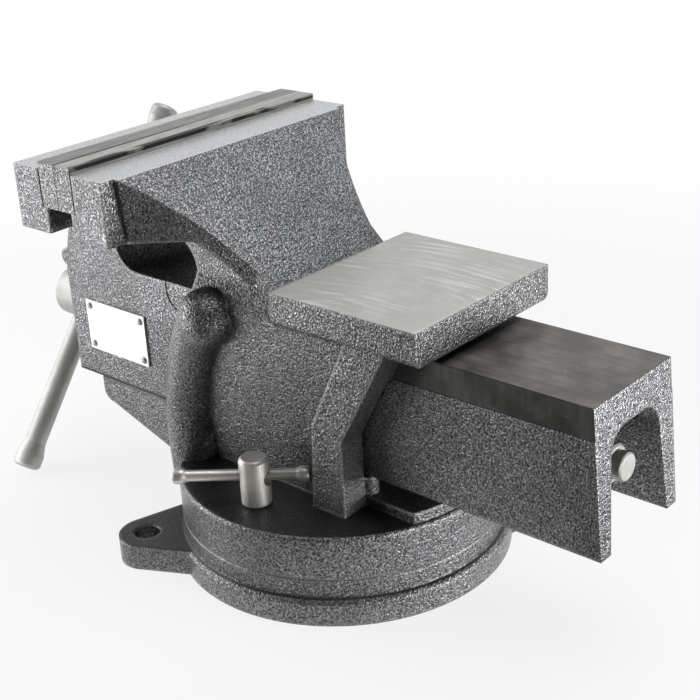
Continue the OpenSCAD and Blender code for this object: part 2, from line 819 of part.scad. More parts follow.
// Hollow flank in front of the moving jaw, on the +X side
module moving_flank() {
  horn_x = jaw_w / 2 - horn_w;
  centre_x = slide_w / 2 + flank_r;
  centre_y = moving_back_y - sqrt(flank_r ^ 2 - (centre_x - horn_x) ^ 2);
  intersection() {
    translate([centre_x, centre_y, jaw_z0 - eps])
      cylinder(h = jaw_h + 2 * eps, r1 = flank_r + flank_draft, r2 = flank_r);
    block([0, -far, 0], [horn_x, far, far]);
  }
  block([horn_x - eps, -far, jaw_z0 - eps], [jaw_w, moving_back_y, far]);
}

// Arch-shaped channel along the slide, in X and Z
module channel_outline() {
  polygon([
    [-channel_foot, slide_z0 - eps], [channel_foot, slide_z0 - eps],
    [channel_top, channel_spring_z], [-channel_top, channel_spring_z]
  ]);
  for (side = [-1, 1])
    translate([side * (channel_top - channel_r), channel_spring_z]) circle(channel_r);
  translate([channel_r - channel_top, channel_spring_z - eps])
    square([2 * (channel_top - channel_r), channel_r + eps]);
}

// Machined strip along the upper edge of the slide, with a curved run-out at its front
module strip_outline() {
  run_y = strip_run_out - strip_front;
  strip_z = slide_z1 - strip_h;
  run_z = strip_z + strip_run_out;
  translate([run_y, strip_z]) square([far, strip_h + eps]);
  translate([-strip_front, run_z]) square([far, strip_h - strip_run_out + eps]);
  translate([run_y, run_z]) circle(strip_run_out);
}

module moving_jaw_casting() {
  color(paint) difference() {
    union() {
      along_x(slide_w) moving_jaw_outline();
      difference() {
        intersection() {
          along_x(jaw_w) moving_jaw_outline();
          block([-far, -far, jaw_z0], [far, far, far]);
        }
        both_sides() moving_flank();
      }
      translate([-slide_w / 2, -slide_front + lip_r / 3, slide_z1 - lip_r / 2])
        rotate([0, 90, 0])
          cylinder(h = slide_w, r = lip_r);
      on_axis(boss_y, -slide_front + eps, boss_d);
    }
    along_y(wall_inner_y, far) channel_outline();
    both_sides()
      translate([slide_w / 2, 0, 0]) along_x(2 * strip_cut) strip_outline();
    on_axis(-far, wall_inner_y + eps, journal_d + 2 * run_fit);
    jaw_screw_places(moving_seat_y, -1) screw_hole();
    rivet_places()
      translate([0, 0, -rivet_l - rivet_d / 4])
        cylinder(h = rivet_l + rivet_d / 4 + eps, r = rivet_d / 2 + run_fit);
  }
}

// Centre of the name plate on the +X side of the slide, with Z pointing outwards
module name_place() {
  translate([slide_w / 2, name_inset + name_w / 2 - slide_front, slide_z0 + name_rise])
    rotate([90, 0, 90])
      children();
}

// The four rivets, at the surface of the slide
module rivet_places() {
  name_place()
    for (side = [-1, 1], level = [-1, 1])
      translate([side * (name_w / 2 - rivet_inset), level * (name_h / 2 - rivet_inset), 0])
        children();
}

module name_plate() {
  color(plate_metal) difference() {
    name_place()
      linear_extrude(name_t)
        square([name_w, name_h], center = true);
    rivet_places()
      translate([0, 0, -eps])
        cylinder(h = name_t + 2 * eps, r = rivet_d / 2 + run_fit);
  }
}

module name_plate_rivets() {
  head_r = rivet_head_d / 2;
  color(turned_steel) rivet_places() {
    translate([0, 0, -rivet_l + name_t]) cylinder(h = rivet_l, d = rivet_d);
    translate([0, 0, name_t]) intersection() {
      translate([0, 0, -head_r / 2]) sphere(norm([head_r, head_r / 2]));
      cylinder(h = head_r, r = head_r);
    }
  }
}

// Places of the two bolts that hold the nut from below
module nut_bolt_places() {
  for (side = [-1, 1]) translate([side * nut_bolt_pitch / 2, nut_mid_y, 0]) children();
}

module spindle_nut() {
  color(paint) difference() {
    union() {
      on_axis(-nut_front, nut_l - nut_front, nut_d);
      block([-nut_web_w / 2, -nut_front, floor_z],
        [nut_web_w / 2, nut_l - nut_front, spindle_z]);
      block([-nut_foot_w / 2, -nut_front, floor_z],
        [nut_foot_w / 2, nut_l - nut_front, floor_z + nut_foot_h]);
    }
    on_axis(-far, far, screw_d + 2 * run_fit);
    nut_bolt_places()
      translate([0, 0, floor_z - eps])
        cylinder(h = nut_foot_h, r = nut_bolt_d / 2 + run_fit);
  }
}

module spindle_nut_bolts() {
  color(turned_steel) nut_bolt_places()
    translate([0, 0, disc_hollow_z]) {
      cylinder(h = nut_bolt_l, d = nut_bolt_d);
      translate([0, 0, -nut_bolt_head_h])
        cylinder(h = nut_bolt_head_h, d = nut_bolt_af / cos(30), $fn = 6);
    }
}

module spindle() {
  color(turned_steel) difference() {
    union() {
      on_axis(head_y0 + head_edge, head_y1, head_d);
      on_axis(head_y0, head_y0 + head_edge, head_d - 2 * head_edge, head_d);
      on_axis(head_y1 - eps, screw_y0, journal_d);
      on_axis(screw_y0 - eps, spindle_y1 - tip_l, screw_d);
      on_axis(spindle_y1 - tip_l - eps, spindle_y1, tip_d);
    }
    handle_place() cylinder(h = 2 * head_d, r = handle_d / 2 + run_fit, center = true);
    translate([0, pin_y, spindle_z]) cylinder(h = 2 * head_d, r = pin_d / 2 + run_fit, center = true);
  }
}

// Flat washer on the journal of the spindle, from y0 on
module spindle_washer(y0) {
  color(turned_steel) difference() {
    on_axis(y0, y0 + washer_t, washer_d);
    on_axis(y0 - eps, y0 + washer_t + eps, journal_d + 2 * run_fit);
  }
}

module thrust_washer() {
  spindle_washer(thrust_y);
}

module spring_washer() {
  spindle_washer(spring_y1);
}

// Steps in one turn of the retaining spring, and sides of its wire
turn_steps = 8;
wire_sides = 6;
// Points on the middle line of the retaining spring
spring_steps = turn_steps * spring_turns;
spring_rise = spring_l - spring_wire_d;
function spring_point(i) =
  let (a = 360 * i / turn_steps)
  [
    spring_d / 2 * sin(a),
    spring_y0 + spring_wire_d / 2 + spring_rise * i / spring_steps,
    spindle_z + spring_d / 2 * cos(a)
  ];
// Points round the wire at one step
function spring_ring(i) =
  let (a = 360 * i / turn_steps, b = 360 / wire_sides)
  [
    for (k = [0 : wire_sides - 1])
      spring_point(i) + spring_wire_d / 2 * [
        cos(b * k) * sin(a), sin(b * k), cos(b * k) * cos(a)
      ]
  ];
// Least gap between two neighbouring turns of the spring
spring_gap = min([
  for (i = [0 : spring_steps - turn_steps])
    for (j = [i + turn_steps - 2 : min(i + turn_steps + 2, spring_steps)])
      norm(spring_point(i) - spring_point(j)) - spring_wire_d
]);
echo(spring_gap = spring_gap);

module retaining_spring() {
  last = wire_sides * spring_steps;
  sides = [
    for (i = [0 : spring_steps - 1], k = [0 : wire_sides - 1])
      let (a = wire_sides * i + k, b = wire_sides * i + (k + 1) % wire_sides)
      each [[a, b, a + wire_sides], [b, b + wire_sides, a + wire_sides]]
  ];
  ends = [for (k = [1 : wire_sides - 2]) each [[0, k + 1, k], [last, last + k, last + k + 1]]];
  color(turned_steel)
    polyhedron([for (i = [0 : spring_steps]) each spring_ring(i)], concat(sides, ends));
}

module split_pin() {
  eye_r = 0.8 * pin_d;
  color(turned_steel) translate([0, pin_y, spindle_z]) {
    cylinder(h = pin_l, d = pin_d, center = true);
    translate([0, 0, (pin_l + pin_d) / 2])
      rotate([90, 0, 0])
        rotate_extrude()
          translate([eye_r, 0])
            circle(eye_r / 2);
  }
}

// Centre of the handle's cross hole, with Z along the bar towards its upper end
module handle_place() {
  translate([0, handle_y, spindle_z]) rotate([0, -handle_lean, 0]) children();
}

module handle_bar() {
  color(turned_steel) handle_place() translate([0, 0, handle_shift]) {
    cylinder(h = handle_l, d = handle_d, center = true);
    cylinder(h = handle_l + 2 * stud_l, d = stud_d, center = true);
  }
}

// Cap on the end of the handle that points along +Z
module handle_cap() {
  difference() {
    rotate_extrude() {
      polygon([
        [0, 0], [handle_d / 2, 0], [cap_d / 2, cap_taper_l], [cap_d / 2, cap_l - cap_r], [0, cap_l - cap_r]
      ]);
      translate([0, cap_l - cap_r - eps]) square([cap_d / 2 - cap_r, cap_r + eps]);
      translate([cap_d / 2 - cap_r, cap_l - cap_r]) circle(cap_r);
    }
    translate([0, 0, -eps]) cylinder(h = stud_l + run_fit + eps, r = stud_d / 2 + run_fit);
  }
}

module handle_cap_upper() {
  color(turned_steel) handle_place()
    translate([0, 0, handle_shift + handle_l / 2]) handle_cap();
}

module handle_cap_lower() {
  color(turned_steel) handle_place()
    translate([0, 0, handle_shift - handle_l / 2]) rotate([180, 0, 0]) handle_cap();
}

// Tee nut of the +X side, a block bent to the slot
module tee_nut() {
  color(paint) difference() {
    arc_block(tee_w / 2, tee_z0, tee_z0 + tee_h, tee_span);
    translate([lock_reach, 0, 0]) cylinder(h = base_h, r = lock_d / 2 + run_fit);
  }
}

// Middle of the lock bar of the +X side, with X along the bar to its outer end
module bar_place() {
  translate([lock_reach, 0, disc_z1 + lock_hole_h]) rotate(bar_turn) children();
}

// Lock screw of the +X side, with a cross hole for its bar
module lock_screw() {
  head_z1 = disc_z1 + face_gap + lock_head_h;
  color(turned_steel) difference() {
    translate([lock_reach, 0, 0]) {
      translate([0, 0, lock_z0]) cylinder(h = disc_z1 + face_gap - lock_z0 + eps, d = lock_d);
      translate([0, 0, disc_z1 + face_gap]) cylinder(h = lock_head_h - head_edge, d = lock_head_d);
      translate([0, 0, head_z1 - head_edge - eps])
        cylinder(h = head_edge + eps, d1 = lock_head_d, d2 = lock_head_d - 2 * head_edge);
    }
    bar_place() rotate([0, 90, 0])
      cylinder(h = 2 * lock_head_d, r = bar_d / 2 + run_fit, center = true);
  }
}

// Lock bar of the +X side, with upset ends
module lock_bar() {
  color(turned_steel) bar_place() rotate([0, 90, 0]) {
    translate([0, 0, -bar_in]) cylinder(h = bar_in + bar_out, d = bar_d);
    translate([0, 0, bar_out - bar_end_l]) cylinder(h = bar_end_l, d1 = bar_d, d2 = bar_end_d);
    translate([0, 0, -bar_in]) cylinder(h = bar_end_l, d1 = bar_end_d, d2 = bar_d);
  }
}

module tee_nut_right() { tee_nut(); }
module tee_nut_left() { mirror([1, 0, 0]) tee_nut(); }
module lock_screw_right() { lock_screw(); }
module lock_screw_left() { mirror([1, 0, 0]) lock_screw(); }
module lock_bar_right() { lock_bar(); }
module lock_bar_left() { mirror([1, 0, 0]) lock_bar(); }

base_plate();
body_casting();
fixed_jaw_plate();
fixed_jaw_screws();
spindle_nut();
spindle_nut_bolts();
tee_nut_right();
tee_nut_left();
lock_screw_right();
lock_screw_left();
lock_bar_right();
lock_bar_left();
moving_jaw_casting();
moving_jaw_plate();
moving_jaw_screws();
name_plate();
name_plate_rivets();
spindle();
thrust_washer();
retaining_spring();
spring_washer();
split_pin();
handle_bar();
handle_cap_upper();
handle_cap_lower();
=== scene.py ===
"""Looks of the swivel bench vise: hammertone castings, ground and turned steel, thread and studio."""

import math

import bmesh
import bpy
from bpy.props import FloatProperty, FloatVectorProperty, IntProperty, PointerProperty
from mathutils import Matrix, Vector


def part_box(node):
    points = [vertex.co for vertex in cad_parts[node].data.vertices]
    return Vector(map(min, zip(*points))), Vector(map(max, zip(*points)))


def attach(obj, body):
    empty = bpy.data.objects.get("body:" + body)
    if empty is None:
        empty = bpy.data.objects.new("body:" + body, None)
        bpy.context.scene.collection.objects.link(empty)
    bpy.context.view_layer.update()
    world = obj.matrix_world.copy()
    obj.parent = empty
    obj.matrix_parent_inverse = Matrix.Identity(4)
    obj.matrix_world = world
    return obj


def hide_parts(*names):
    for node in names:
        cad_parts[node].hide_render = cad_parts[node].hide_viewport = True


bl_info = {
    "name": "Swivel Bench Vise",
    "version": (1, 0, 0),
    "blender": (4, 5, 0),
    "location": "View3D > Sidebar > Vise",
    "description": "Finishes the castings and steel of a swivel bench vise and sets its studio",
    "category": "Object",
}

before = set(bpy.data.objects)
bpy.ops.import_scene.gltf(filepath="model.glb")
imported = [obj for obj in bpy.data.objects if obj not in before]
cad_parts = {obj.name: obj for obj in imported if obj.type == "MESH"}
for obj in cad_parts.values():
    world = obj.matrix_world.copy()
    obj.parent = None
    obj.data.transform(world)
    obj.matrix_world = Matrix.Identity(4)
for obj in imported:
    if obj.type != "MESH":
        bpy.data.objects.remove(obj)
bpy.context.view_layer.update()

MM = 0.001
VALUE, VECTOR = "NodeSocketFloat", "NodeSocketVector"

# Boxes of the solids that pieces and finishes are placed by
SPINDLE_LOW, SPINDLE_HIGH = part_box("spindle")
SPINDLE_Z = (SPINDLE_LOW.z + SPINDLE_HIGH.z) / 2
JAW_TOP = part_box("body_casting")[1].z
FIXED_PLATE_LOW, FIXED_PLATE_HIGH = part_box("fixed_jaw_plate")
MOVING_PLATE_LOW, MOVING_PLATE_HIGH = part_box("moving_jaw_plate")
SPRING_LOW, SPRING_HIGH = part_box("retaining_spring")
LOCK_LOW, LOCK_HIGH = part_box("lock_screw_right")

# Faces of the castings that wear another finish
ANVIL_TOP = 135.8 * MM
ANVIL_FRONT, ANVIL_BACK = 5.5 * MM, 82.5 * MM
MILL_CENTRE = (0.120, 0.055, 0.0)
PLATE_TOP = 41.0 * MM
LUG_TOP = 12.0 * MM
SLIDE_TOP = 117.2 * MM
SLIDE_TOP_X = 28.5 * MM
SLIDE_BARE_Y = -20 * MM
STRIP_X = 27.6 * MM
STRIP_LOW = 103.8 * MM
RAIL_TOP = 54.5 * MM
NOSE_X, NOSE_BACK = 36 * MM, -45 * MM
# Heights of the painted shadow lines under the nose's top edge and along the slide's joint
NOSE_SHADE, JOINT_SHADE = 1.3 * MM, 1.6 * MM

# Boxes of those faces: past the vise on each side, half their thickness, and their soft edge
FAR = 0.2
SKIN = 0.12 * MM
SOFT = 0.05 * MM
SHARP = 0.02 * MM

# Hammertone grain: rates and reach in grains, and the spans of noise that are used
SWIRL_RATE, SWIRL_REACH, WORM_RATE = 1.2, 0.6, 2.3
CREST_SPAN, HEIGHT_SPAN, DRIFT_SPAN = (0.31, 0.74), (0.26, 0.76), (0.32, 0.68)
DRIFT_SCALE = 30.0
PAINT_RELIEF = 0.21 * MM
THIN_GRAIN = 1.5 * MM

# Other textures: noise scales per metre, and samples of the edge masks
STAIN_SCALE, SPOT_SCALE, ARC_SCALE, ARC_COVER_SCALE = 42.0, 700.0, 420.0, 22.0
FACE_MARKS, SLIDE_MARKS, PLATE_MARKS, STRIPE_MARKS = 260.0, 420.0, 1500.0, 110.0
ARC_LENGTHEN = 0.012
EDGE_SAMPLES = 6

# Colours of the painted shadow at the jaw plates' joint and seam, of the black stripe on one plate, of the
# screws in the plates, and of the lock screws' plating
GAP_SHADOW = (0.008, 0.008, 0.008)
SEAM_SHADE = (0.012, 0.012, 0.012)
STRIPE_BLACK, STRIPE_RUBBED = (0.010, 0.010, 0.010), (0.36, 0.35, 0.32)
SCREW_BLACK = (0.10, 0.10, 0.105)
PLATED_TINT = (1.0, 0.985, 0.95)

# How fine the pieces are: merging distances, the angle of a sharp edge and segments of a round
MERGE, WELD = 1e-7, 1e-6
SHARP_ANGLE = math.radians(32)
SPINDLE_SEGMENTS, HEAD_SEGMENTS, BAR_SEGMENTS, JAW_SCREW_SEGMENTS = 64, 48, 40, 24

# Spindle and spring
HEAD_R, HEAD_LENGTH = 13 * MM, 31 * MM
JOURNAL_R, JOURNAL_END = 9 * MM, -0.1105
SCREW_R = 8 * MM
TIP_R, TIP_LENGTH = 6 * MM, 5 * MM
HANDLE_LEAN = math.radians(36.5)
HANDLE_HOLE_R, HANDLE_HOLE_DEPTH = 5.55 * MM, 60 * MM
THREAD_STEPS = 28
WIRE_R, WIRE_MEAN_R = 1.2 * MM, 12 * MM
WIRE_POINTS, WIRE_STEPS = 12, 40

# Lock screws, whose outlines are points of place and radius in millimetres
LOCK_X = 55.2 * MM
LOCK_SEAT = 41.3
LOCK_HOLE_Z, LOCK_HOLE_DROP = 54.4 * MM, 0.7 * MM
LOCK_HOLE_R, LOCK_HOLE_DEPTH = 3.8 * MM, 30 * MM
BAR_TURN = math.radians(-52)
HOLE_SKEW = math.radians(-13)
BAR_OUTLINE = (
    (-24, 0), (-24, 2.5), (-23.7, 3.1), (-22.9, 3.5), (-21, 3.6), (-19.4, 3.45), (-18.6, 2.9), (-17.6, 2.5),
    (29, 2.5), (30, 2.9), (30.8, 3.45), (32.4, 3.6), (34.3, 3.5), (35.1, 3.1), (35.4, 2.5), (35.4, 0),
)

# Jaw screws
JAW_SCREW_R, JAW_SCREW_HEAD_R, JAW_SCREW_LENGTH = 4 * MM, 7.6 * MM, 22 * MM
KEY_R, KEY_DEPTH, KEY_SPLITS = 2.6 * MM, 3.2 * MM, 4

# Studio: ranges of place or direction and what they are turned into, lamps (place, target, width and
# height, power in watts) and the photo's camera
FLOOR_SIZE = 6.0
FLOOR_FADE = (0.22, 0.70, 0.82, 1.0)
BOARD_LEFT = (-0.26, 0.0, 0.6, 0.05)
BOARD_FRONT = (0.27, 0.45, 0.0, 0.5)
BOARD_NEAR = (0.115, 0.16, 1.15, 0.0)
BOARD_START = (-0.05, 0.10)
WALL_FADE = (-0.45, 0.60, 1.0, 0.06)
WALL_LEVEL, WALL_GLOSS = 0.32, 0.90
FLOOR_GREY, WALL_TINT, WHITE = (0.75, 0.75, 0.75, 1.0), (0.97, 0.985, 1.0, 1.0), (1.0, 1.0, 1.0, 1.0)
TOWARD_CAMERA = (0.74, 0.67, 0.0)
LAMPS = {
    "left_softbox": ((0.17, -0.42, 0.22), (0.03, -0.09, 0.09), (0.30, 0.26), 0.9),
    "front_softbox": ((0.28, -0.27, 0.04), (0.05, -0.02, 0.07), (0.22, 0.06), 0.5),
    "right_softbox": ((-0.14, 0.50, 0.06), (0.0, 0.14, 0.07), (0.32, 0.10), 2.7),
    "low_softbox": ((0.13, 0.54, 0.03), (0.05, -0.045, 0.10), (0.08, 0.05), 0.5),
    "top_softbox": ((-0.20, 0.12, 1.10), (0.0, 0.0, 0.10), (0.8, 0.8), 7.5),
}
CAMERA_LENS, CAMERA_SENSOR = 69.877, 36.0
CAMERA_PLACE = (0.40329, 0.37586, 0.33568)
CAMERA_RIGHT = (-0.65571, 0.75332, -0.05058)
CAMERA_UP = (-0.33574, -0.23093, 0.91321)
CAMERA_BACK = (0.67626, 0.61578, 0.40434)


def length(label, words, default):
    """A length in metres that a user may change."""
    return FloatProperty(
        name=label, description=words, default=default, min=0.0, unit="LENGTH", precision=5
    )


def colour(label, words, default):
    """A colour that a user may change."""
    return FloatVectorProperty(
        name=label, description=words, default=default, size=3, min=0.0, max=1.0, subtype="COLOR"
    )


class ViseSizes(bpy.types.PropertyGroup):
    """Sizes of the details that the finish adds."""

    grain: length("Paint Grain", "Size of one pebble of the hammertone paint", 2.0 * MM)
    casting_round: length("Casting Edge", "Roundness of the castings' edges", 2.2 * MM)
    steel_round: length("Steel Edge", "Roundness of the steel pieces' edges", 0.4 * MM)
    screw_pitch: length("Screw Pitch", "Travel of the jaw in one turn of the spindle", 5 * MM)
    screw_depth: length("Thread Depth", "Depth of the spindle's thread", 2.3 * MM)
    serration: length("Serration", "Pitch of the diamond serration on the jaw plates", 2.6 * MM)
    wire_turns: IntProperty(
        name="Spring Turns", description="Turns of the retaining spring", default=4, min=2
    )


class ViseColours(bpy.types.PropertyGroup):
    """Colours of the finishes."""

    paint_valley: colour("Paint Valley", "Hammertone paint between its pebbles", (0.040, 0.041, 0.043))
    paint_crest: colour("Paint Crest", "Hammertone paint on its pebbles", (0.31, 0.313, 0.32))
    # Dull paint with painted shade on level tops, and painted shadow lines along the slide's joints
    dull_paint_and_shade: colour("Dull Paint and Shade", "Dull paint with painted shade on level tops, and painted shadow lines at joints", (0.042, 0.042, 0.043))
    # Worn paint with a painted highlight along the castings' edges
    worn_edge_highlight: colour("Worn Edge Highlight", "Thin worn paint with a painted highlight along the castings' edges", (0.42, 0.42, 0.43))
    smooth_paint: colour("Smooth Paint", "Thin smooth paint on the jaw tops", (0.74, 0.742, 0.748))
    ground_steel: colour("Ground Steel", "Anvil face and jaw plates", (0.50, 0.492, 0.465))
    slide_iron: colour("Slide Top", "Oiled machined top of the slide", (0.160, 0.148, 0.138))
    strip_iron: colour("Slide Strips", "Dark machined strips along the slide", (0.080, 0.080, 0.075))
    turned_steel: colour("Turned Steel", "Spindle, handle and lock screws", (0.55, 0.542, 0.52))
    aluminium: colour("Name Plate", "Bare metal of the name plate", (0.80, 0.802, 0.80))
    bare_iron: colour("Bare Iron", "Unpainted castings inside the vise", (0.12, 0.117, 0.113))


def shade(base, factor):
    """A colour made darker or lighter."""
    return [min(1.0, c * factor) for c in base]


def new_group(name, inputs, outputs):
    """An empty shader node group with its sockets, and its input and output nodes."""
    tree = bpy.data.node_groups.new(name, "ShaderNodeTree")
    for label, kind, default in inputs:
        made = tree.interface.new_socket(name=label, in_out="INPUT", socket_type=kind)
        made.default_value = default
    for label, kind in outputs:
        tree.interface.new_socket(name=label, in_out="OUTPUT", socket_type=kind)
    return tree, tree.nodes.new("NodeGroupInput"), tree.nodes.new("NodeGroupOutput")


def feed(tree, node, links):
    """Connects a node's inputs to sockets, and sets those that are given values."""
    for key, value in links.items():
        if isinstance(value, bpy.types.NodeSocket):
            tree.links.new(value, node.inputs[key])
        else:
            node.inputs[key].default_value = value


def put(tree, kind, links=None, **settings):
    """Adds a node, sets its attributes and feeds its inputs."""
    node = tree.nodes.new(kind)
    for key, value in settings.items():
        setattr(node, key, value)
    feed(tree, node, links or {})
    return node


def own_place(tree):
    """Coordinates in the vise's own frame."""
    return put(tree, "ShaderNodeTexCoord").outputs["Object"]


def split(tree, vector):
    """A vector's three parts."""
    return put(tree, "ShaderNodeSeparateXYZ", {0: vector}).outputs


def noise(tree, place, scale, **more):
    """A noise texture's outputs."""
    return put(tree, "ShaderNodeTexNoise", {"Vector": place, "Scale": scale, **more}).outputs


def math_node(tree, operation, first, second=0.0, clamp=False):
    """A Math node's result."""
    links = {0: first, 1: second}
    return put(tree, "ShaderNodeMath", links, operation=operation, use_clamp=clamp).outputs[0]


def times(tree, first, second):
    """A product."""
    return math_node(tree, "MULTIPLY", first, second)


def vector_node(tree, operation, first, second=(0.0, 0.0, 0.0)):
    """A Vector Math node's vector."""
    return put(tree, "ShaderNodeVectorMath", {0: first, 1: second}, operation=operation).outputs[0]


def remap(tree, value, low, high, out_low=0.0, out_high=1.0):
    """A value eased from one range to another."""
    links = {"Value": value, "From Min": low, "From Max": high, "To Min": out_low, "To Max": out_high}
    return put(tree, "ShaderNodeMapRange", links, interpolation_type="SMOOTHSTEP").outputs["Result"]


def opaque(tone):
    """A colour with its alpha, or a socket as it is."""
    return tone if isinstance(tone, bpy.types.NodeSocket) else (*tone[:3], 1.0)


def blend(tree, factor, first, second):
    """A colour mixed from two."""
    links = {0: factor, 6: opaque(first), 7: opaque(second)}
    return put(tree, "ShaderNodeMix", links, data_type="RGBA").outputs[2]


def ease(tree, factor, first, second):
    """A value mixed from two."""
    return put(tree, "ShaderNodeMix", {0: factor, 2: first, 3: second}, data_type="FLOAT").outputs[0]


def hammer_grain():
    """Pebbles of hammertone paint: crest mask, height and a slow drift of tone."""
    tree, entry, leave = new_group(
        "Hammer Grain",
        [("Grain", VALUE, 2.0 * MM)],
        [("Crest", VALUE), ("Height", VALUE), ("Drift", VALUE)],
    )
    place = own_place(tree)
    grain = entry.outputs["Grain"]
    per_metre = math_node(tree, "DIVIDE", 1.0, grain)
    swirl = noise(tree, place, times(tree, per_metre, SWIRL_RATE), Detail=1.0)["Color"]
    shift = vector_node(tree, "SUBTRACT", swirl, (0.5, 0.5, 0.5))
    reach = times(tree, grain, SWIRL_REACH)
    scaled = put(tree, "ShaderNodeVectorMath", {0: shift, "Scale": reach}, operation="SCALE").outputs[0]
    bent = vector_node(tree, "ADD", place, scaled)
    worms = noise(tree, bent, times(tree, per_metre, WORM_RATE), Detail=1.2, Roughness=0.45)["Fac"]
    drift = noise(tree, place, DRIFT_SCALE, Detail=3.0)["Fac"]
    feed(tree, leave, {
        "Crest": remap(tree, worms, *CREST_SPAN),
        "Height": remap(tree, worms, *HEIGHT_SPAN),
        "Drift": remap(tree, drift, *DRIFT_SPAN),
    })
    return tree


def box_zone():
    """Mask of a box in the vise's own frame, 1 inside."""
    tree, entry, leave = new_group(
        "Box Zone",
        [("Low", VECTOR, (0.0, 0.0, 0.0)), ("High", VECTOR, (1.0, 1.0, 1.0)), ("Soft", VALUE, SOFT)],
        [("Mask", VALUE)],
    )
    place = own_place(tree)
    above = vector_node(tree, "SUBTRACT", place, entry.outputs["Low"])
    below = vector_node(tree, "SUBTRACT", entry.outputs["High"], place)
    inside = split(tree, vector_node(tree, "MINIMUM", above, below))
    least = math_node(tree, "MINIMUM", inside[0], inside[1])
    least = math_node(tree, "MINIMUM", least, inside[2])
    feed(tree, leave, {"Mask": math_node(tree, "DIVIDE", least, entry.outputs["Soft"], True)})
    return tree


def edge_light():
    """Rounded normal of sharp edges, a mask of the outward edges and one of the inward corners where shade
    is painted.
    """
    tree, entry, leave = new_group(
        "Rounded Edge",
        [("Radius", VALUE, 1.5 * MM), ("Reach", VALUE, 18 * MM)],
        [("Normal", VECTOR), ("Edge", VALUE), ("Corner Shade", VALUE)],
    )
    radius, reach = entry.outputs["Radius"], entry.outputs["Reach"]
    own = {"samples": EDGE_SAMPLES, "only_local": True}
    bevel = put(tree, "ShaderNodeBevel", {"Radius": radius}, samples=EDGE_SAMPLES)
    rim = put(tree, "ShaderNodeAmbientOcclusion", {"Distance": radius}, inside=True, **own)
    shade_ao = put(tree, "ShaderNodeAmbientOcclusion", {"Distance": reach}, **own)
    feed(tree, leave, {
        "Normal": bevel.outputs[0],
        "Edge": remap(tree, rim.outputs["AO"], 0.50, 0.86, 1.0, 0.0),
        "Corner Shade": remap(tree, shade_ao.outputs["AO"], 0.35, 0.92, 1.0, 0.0),
    })
    return tree


def tool_marks():
    """Fine streaks, stains and a small height of a worked metal face."""
    tree, entry, leave = new_group(
        "Tool Marks",
        [("Stretch", VECTOR, (1.0, 1.0, 1.0)), ("Scale", VALUE, 900.0)],
        [("Streak", VALUE), ("Stain", VALUE), ("Height", VALUE)],
    )
    place = own_place(tree)
    pulled = vector_node(tree, "MULTIPLY", place, entry.outputs["Stretch"])
    streak = noise(tree, pulled, entry.outputs["Scale"], Detail=4.0)["Fac"]
    stain = noise(tree, place, STAIN_SCALE, Detail=5.0, Roughness=0.62)["Fac"]
    feed(tree, leave, {
        "Streak": remap(tree, streak, 0.30, 0.70),
        "Stain": remap(tree, stain, 0.36, 0.66),
        "Height": streak,
    })
    return tree


def milled_arcs():
    """Faint wide arcs that a face mill leaves, stronger in some places than in others."""
    tree, entry, leave = new_group(
        "Milled Arcs",
        [("Centre", VECTOR, (0.0, 0.0, 0.0)), ("Scale", VALUE, ARC_SCALE)],
        [("Arc", VALUE)],
    )
    place = own_place(tree)
    out = split(tree, vector_node(tree, "SUBTRACT", place, entry.outputs["Centre"]))
    across = math_node(tree, "POWER", out[0], 2.0)
    along = math_node(tree, "POWER", out[1], 2.0)
    radius = math_node(tree, "SQRT", math_node(tree, "ADD", across, along))
    turn = times(tree, math_node(tree, "ARCTAN2", out[0], out[1]), ARC_LENGTHEN)
    polar = put(tree, "ShaderNodeCombineXYZ", {0: radius, 1: turn}).outputs[0]
    rings = noise(tree, polar, entry.outputs["Scale"], Detail=3.0)["Fac"]
    cover = noise(tree, place, ARC_COVER_SCALE, Detail=1.0)["Fac"]
    line = remap(tree, rings, 0.44, 0.68)
    feed(tree, leave, {"Arc": times(tree, line, remap(tree, cover, 0.38, 0.62))})
    return tree


EFFECTS = {
    "Hammer Grain": hammer_grain,
    "Box Zone": box_zone,
    "Rounded Edge": edge_light,
    "Tool Marks": tool_marks,
    "Milled Arcs": milled_arcs,
}


def effect(tree, name, links):
    """Places one of the shared effects in a material, and builds it the first time."""
    group = bpy.data.node_groups.get(name) or EFFECTS[name]()
    return put(tree, "ShaderNodeGroup", links, node_tree=group).outputs


def new_finish(name, **plain):
    """A material with an empty Principled shader, whose plain values are set on its own sockets."""
    made = bpy.data.materials.new(name)
    made.use_nodes = True
    tree = made.node_tree
    feed(tree, tree.nodes["Principled BSDF"], {key.replace("_", " "): plain[key] for key in plain})
    return made, tree


def close_finish(tree, look, strength, relief):
    """Connects what changes over the surface to the shader."""
    links = {"Strength": strength, "Distance": relief, "Height": look["height"], "Normal": look["normal"]}
    bump = put(tree, "ShaderNodeBump", links)
    feed(tree, tree.nodes["Principled BSDF"], {
        "Base Color": look["tone"],
        "Roughness": look["roughness"],
        "Metallic": look["metallic"],
        "Normal": bump.outputs[0],
    })


def zone(tree, low, high, soft=SOFT):
    """Mask of a box given by two corners."""
    return effect(tree, "Box Zone", {"Low": low, "High": high, "Soft": soft})["Mask"]


def join(tree, *masks):
    """The greatest of several masks."""
    result = masks[0]
    for mask in masks[1:]:
        result = math_node(tree, "MAXIMUM", result, mask)
    return result


def lay(tree, look, mask, tone, **values):
    """Lays another tone over a mask, and other values of the look where they are given."""
    look["tone"] = blend(tree, mask, look["tone"], tone)
    for key, value in values.items():
        look[key] = ease(tree, mask, look[key], value)


def patch(tree, look, boxes, tone, **values):
    """Lays another finish over the boxes of a casting."""
    lay(tree, look, join(tree, *[zone(tree, low, high) for low, high in boxes]), tone, **values)


